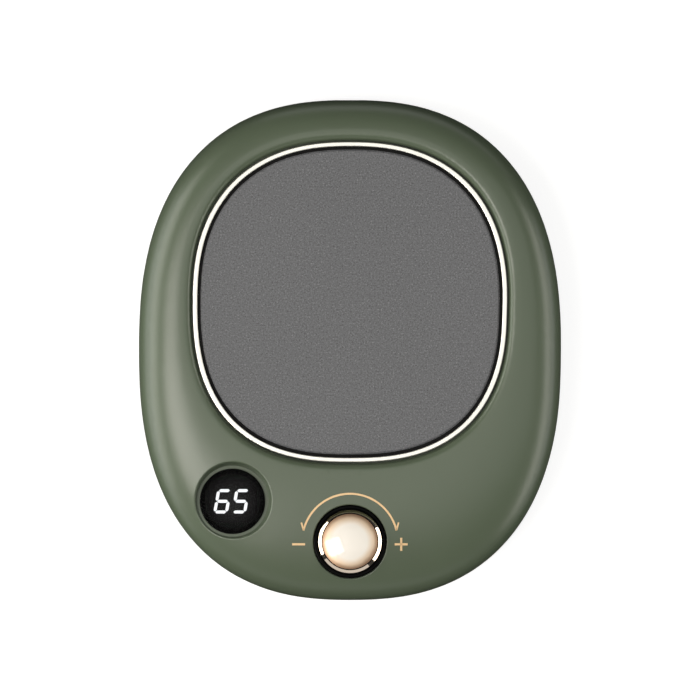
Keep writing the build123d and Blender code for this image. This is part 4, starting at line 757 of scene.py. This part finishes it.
half = printLook["signSpan"] / 2
signY = printLook["signY"]
signPaths = {
    "minus_bar": straightPath((printLook["minusX"] - half, signY), (printLook["minusX"] + half, signY)),
    "plus_bar": straightPath((printLook["plusX"] - half, signY), (printLook["plusX"] + half, signY)),
    "plus_upright": straightPath((printLook["plusX"], signY - half), (printLook["plusX"], signY + half)),
}
for signName, signPath in signPaths.items():
    layOnShell(signName, inkRibbon(signPath, printLook["signStroke"]), printLook)
print("printed marks laid on the shell")


# push spring: a wire coil in place of the push_spring piece

springLook = {"wire": 0.12, "turns": 2.5, "ringsPerTurn": 64, "around": 16}


def wireCoil(look, low, high):
    # the wire's middle climbs steadily round the coil's own axis, and at every step a small ring
    # stands in the plane of that axis and the outward direction; a point closes each end
    wire = look["wire"] * mm
    around = look["around"]
    coil = (high[0] - low[0]) / 2 - wire
    middle = np.array([(low[0] + high[0]) / 2, (low[1] + high[1]) / 2, low[2] + wire])
    climb = high[2] - low[2] - 2 * wire
    rings = int(look["turns"] * look["ringsPerTurn"]) + 1
    share = np.linspace(0, 1, rings)
    angle = 2 * np.pi * look["turns"] * share
    outward = np.column_stack([np.cos(angle), np.sin(angle), np.zeros(rings)])
    upward = np.array([0.0, 0.0, 1.0])
    path = middle + outward * coil + share[:, None] * climb * upward
    turn = np.linspace(0, 2 * np.pi, around, endpoint=False)
    ring = np.cos(turn)[None, :, None] * outward[:, None, :] + np.sin(turn)[None, :, None] * upward
    points = np.vstack([(path[:, None, :] + wire * ring).reshape(-1, 3), path[[0, -1]]])
    column = np.arange(around)
    following = np.roll(column, -1)
    row = np.arange(rings - 1)[:, None] * around
    corners = [row + column, row + around + column, row + around + following, row + following]
    sides = np.stack(corners, axis=2).reshape(-1, 4)
    lastRing = (rings - 1) * around
    ends = len(points) - 2
    startFan = np.column_stack([np.full(around, ends), column, following])
    endFan = np.column_stack([np.full(around, ends + 1), lastRing + following, lastRing + column])
    return points, sides.tolist() + startFan.tolist() + endFan.tolist()


springLow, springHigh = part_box("push_spring")
springPoints, springFaces = wireCoil(springLook, springLow, springHigh)
spring = meshPiece("coil_spring", springPoints, springFaces, nodes["push_spring"].data.materials[0])
spring.data.shade_smooth()
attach(spring, "case")
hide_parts("push_spring")
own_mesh(spring)
print("push spring coiled")


# floor: pale and lit from within, seen by the camera but not by reflections or bounced light

floorLook = {
    "size": 6.0,
    "level": -0.02,  # a hair below the feet, so the two faces don't coincide
    "color": (0.35, 0.35, 0.35),
    "darker": 0.01,
    "toneScale": 3,
    "roughness": 0.9,
    "specular": 0.1,
    "glow": 0.82,
}

floorMaterial, floorTree, floorShader = emptyMaterial("paleFloor")
floorNoise = noiseValue(floorTree, objectPlace(floorTree), floorLook["toneScale"], detail=2)
floorTone = nearbyTones(floorTree, floorNoise, floorLook["color"], floorLook["darker"], 0)
floorTree.links.new(floorTone, floorShader.inputs["Base Color"])
floorShader.inputs["Roughness"].default_value = floorLook["roughness"]
floorShader.inputs["Specular IOR Level"].default_value = floorLook["specular"]
floorShader.inputs["Emission Color"].default_value = (1, 1, 1, 1)
floorShader.inputs["Emission Strength"].default_value = floorLook["glow"]

floorCorners = np.array([(-1, -1, 0), (1, -1, 0), (1, 1, 0), (-1, 1, 0)]) * floorLook["size"] / 2
floorCorners[:, 2] = floorLook["level"] * mm
floor = meshPiece("floor", floorCorners, [(0, 1, 2, 3)], floorMaterial)
floor.visible_glossy = False
floor.visible_diffuse = False


# room: dim below, a little lighter overhead

roomLook = {
    "tones": [  # from straight down at 0 to straight up at 1
        (0.45, (0.01, 0.01, 0.01)),
        (0.55, (0.02, 0.02, 0.02)),
        (1.0, (0.135, 0.135, 0.135)),
    ],
    "backdrop": (1, 1, 1),
}

world = bpy.data.worlds.new("studio")
bpy.context.scene.world = world
world.use_nodes = True
worldTree = world.node_tree
direction = addNode(worldTree, "ShaderNodeTexCoord")
axes = addNode(worldTree, "ShaderNodeSeparateXYZ")
worldTree.links.new(direction.outputs["Generated"], axes.inputs["Vector"])
height = carried(worldTree, axes.outputs["Z"], (-1, 1))
background = worldTree.nodes["Background"]
worldTree.links.new(rampColor(worldTree, height, roomLook["tones"]), background.inputs["Color"])
# seen past the floor's edge it is as pale as the floor, and that adds no light
backdrop = addNode(worldTree, "ShaderNodeBackground")
backdrop.inputs["Color"].default_value = (*roomLook["backdrop"], 1)
rays = addNode(worldTree, "ShaderNodeLightPath")
choice = addNode(worldTree, "ShaderNodeMixShader")
whenLighting, whenSeen = choice.inputs[1], choice.inputs[2]
worldTree.links.new(rays.outputs["Is Camera Ray"], choice.inputs["Fac"])
worldTree.links.new(background.outputs["Background"], whenLighting)
worldTree.links.new(backdrop.outputs["Background"], whenSeen)
worldTree.links.new(choice.outputs["Shader"], worldTree.nodes["World Output"].inputs["Surface"])
print("floor and room set")


# lights: softboxes standing round the object, and white cards lying beside it

# each softbox: elevation and azimuth in degrees, distance, width and height in metres, radiance, colour
softboxes = {
    "keyHigh": (60, 202, 2.0, 1.0, 1.0, 9.8, (1.0, 0.96, 0.90)),
    "overhead": (74, 5, 1.5, 1.1, 1.6, 1.1, (1.0, 1.0, 0.96)),
    "leftMiddle": (18, 174, 1.3, 1.6, 0.45, 4.3, (1.0, 0.98, 0.90)),
    "leftLow": (4, 180, 1.3, 1.6, 0.16, 6.0, (1.0, 1.0, 1.0)),
    "rightLow": (11, -7, 1.3, 1.6, 0.44, 4.0, (1.0, 0.97, 0.90)),
    "frontCard": (16, 262, 1.3, 2.4, 0.4, 0.6, (1.0, 1.0, 1.0)),
}

# each card: middle, width, depth and radiance
floorCards = {
    "bounceLeft": ((-0.25, -0.022), 0.29, 0.226, 1.8),
    "bounceRight": ((0.24, -0.02), 0.26, 0.18, 1.5),
    "bounceBack": ((0.06, 0.21), 0.22, 0.20, 0.7),
}
cardHeight = 0.5  # mm


def areaLight(name, width, depth, radiance, color=(1, 1, 1)):
    # the power that gives a radiance over the whole face is radiance times pi times area
    light = bpy.data.lights.new(name, "AREA")
    light.shape = "RECTANGLE"
    light.size = width
    light.size_y = depth
    light.energy = radiance * math.pi * width * depth
    light.color = color
    return placeInScene(name, light)


def addSoftbox(name, elevation, azimuth, distance, *settings):
    # stands off from the origin and faces it
    softbox = areaLight(name, *settings)
    rise, bearing = math.radians(elevation), math.radians(azimuth)
    flat = math.cos(rise)
    towards = np.array([flat * math.cos(bearing), flat * math.sin(bearing), math.sin(rise)])
    softbox.location = towards * distance
    softbox.rotation_euler = (math.pi / 2 - rise, 0, bearing + math.pi / 2)


def addCard(name, middle, *settings):
    # lies just over the floor and faces up
    card = areaLight(name, *settings)
    card.location = (*middle, cardHeight * mm)
    card.rotation_euler = (math.pi, 0, 0)
    card.visible_camera = False


for boxName, boxSettings in softboxes.items():
    addSoftbox(boxName, *boxSettings)
for cardName, cardSettings in floorCards.items():
    addCard(cardName, *cardSettings)


# camera: straight above, with no perspective

viewLook = {"pixelSize": 0.308, "pictureWidth": 700, "height": 1.0, "clipEnd": 20}
camera = bpy.data.cameras.new("topView")
camera.type = "ORTHO"
camera.ortho_scale = viewLook["pixelSize"] * mm * viewLook["pictureWidth"]
camera.clip_end = viewLook["clipEnd"]
cameraObject = placeInScene("topView", camera)
cameraObject.location = (0, 0, viewLook["height"])
bpy.context.scene.camera = cameraObject
bpy.context.scene.view_settings.view_transform = "Standard"
bpy.context.scene.view_settings.look = "None"
print("lights and camera set")
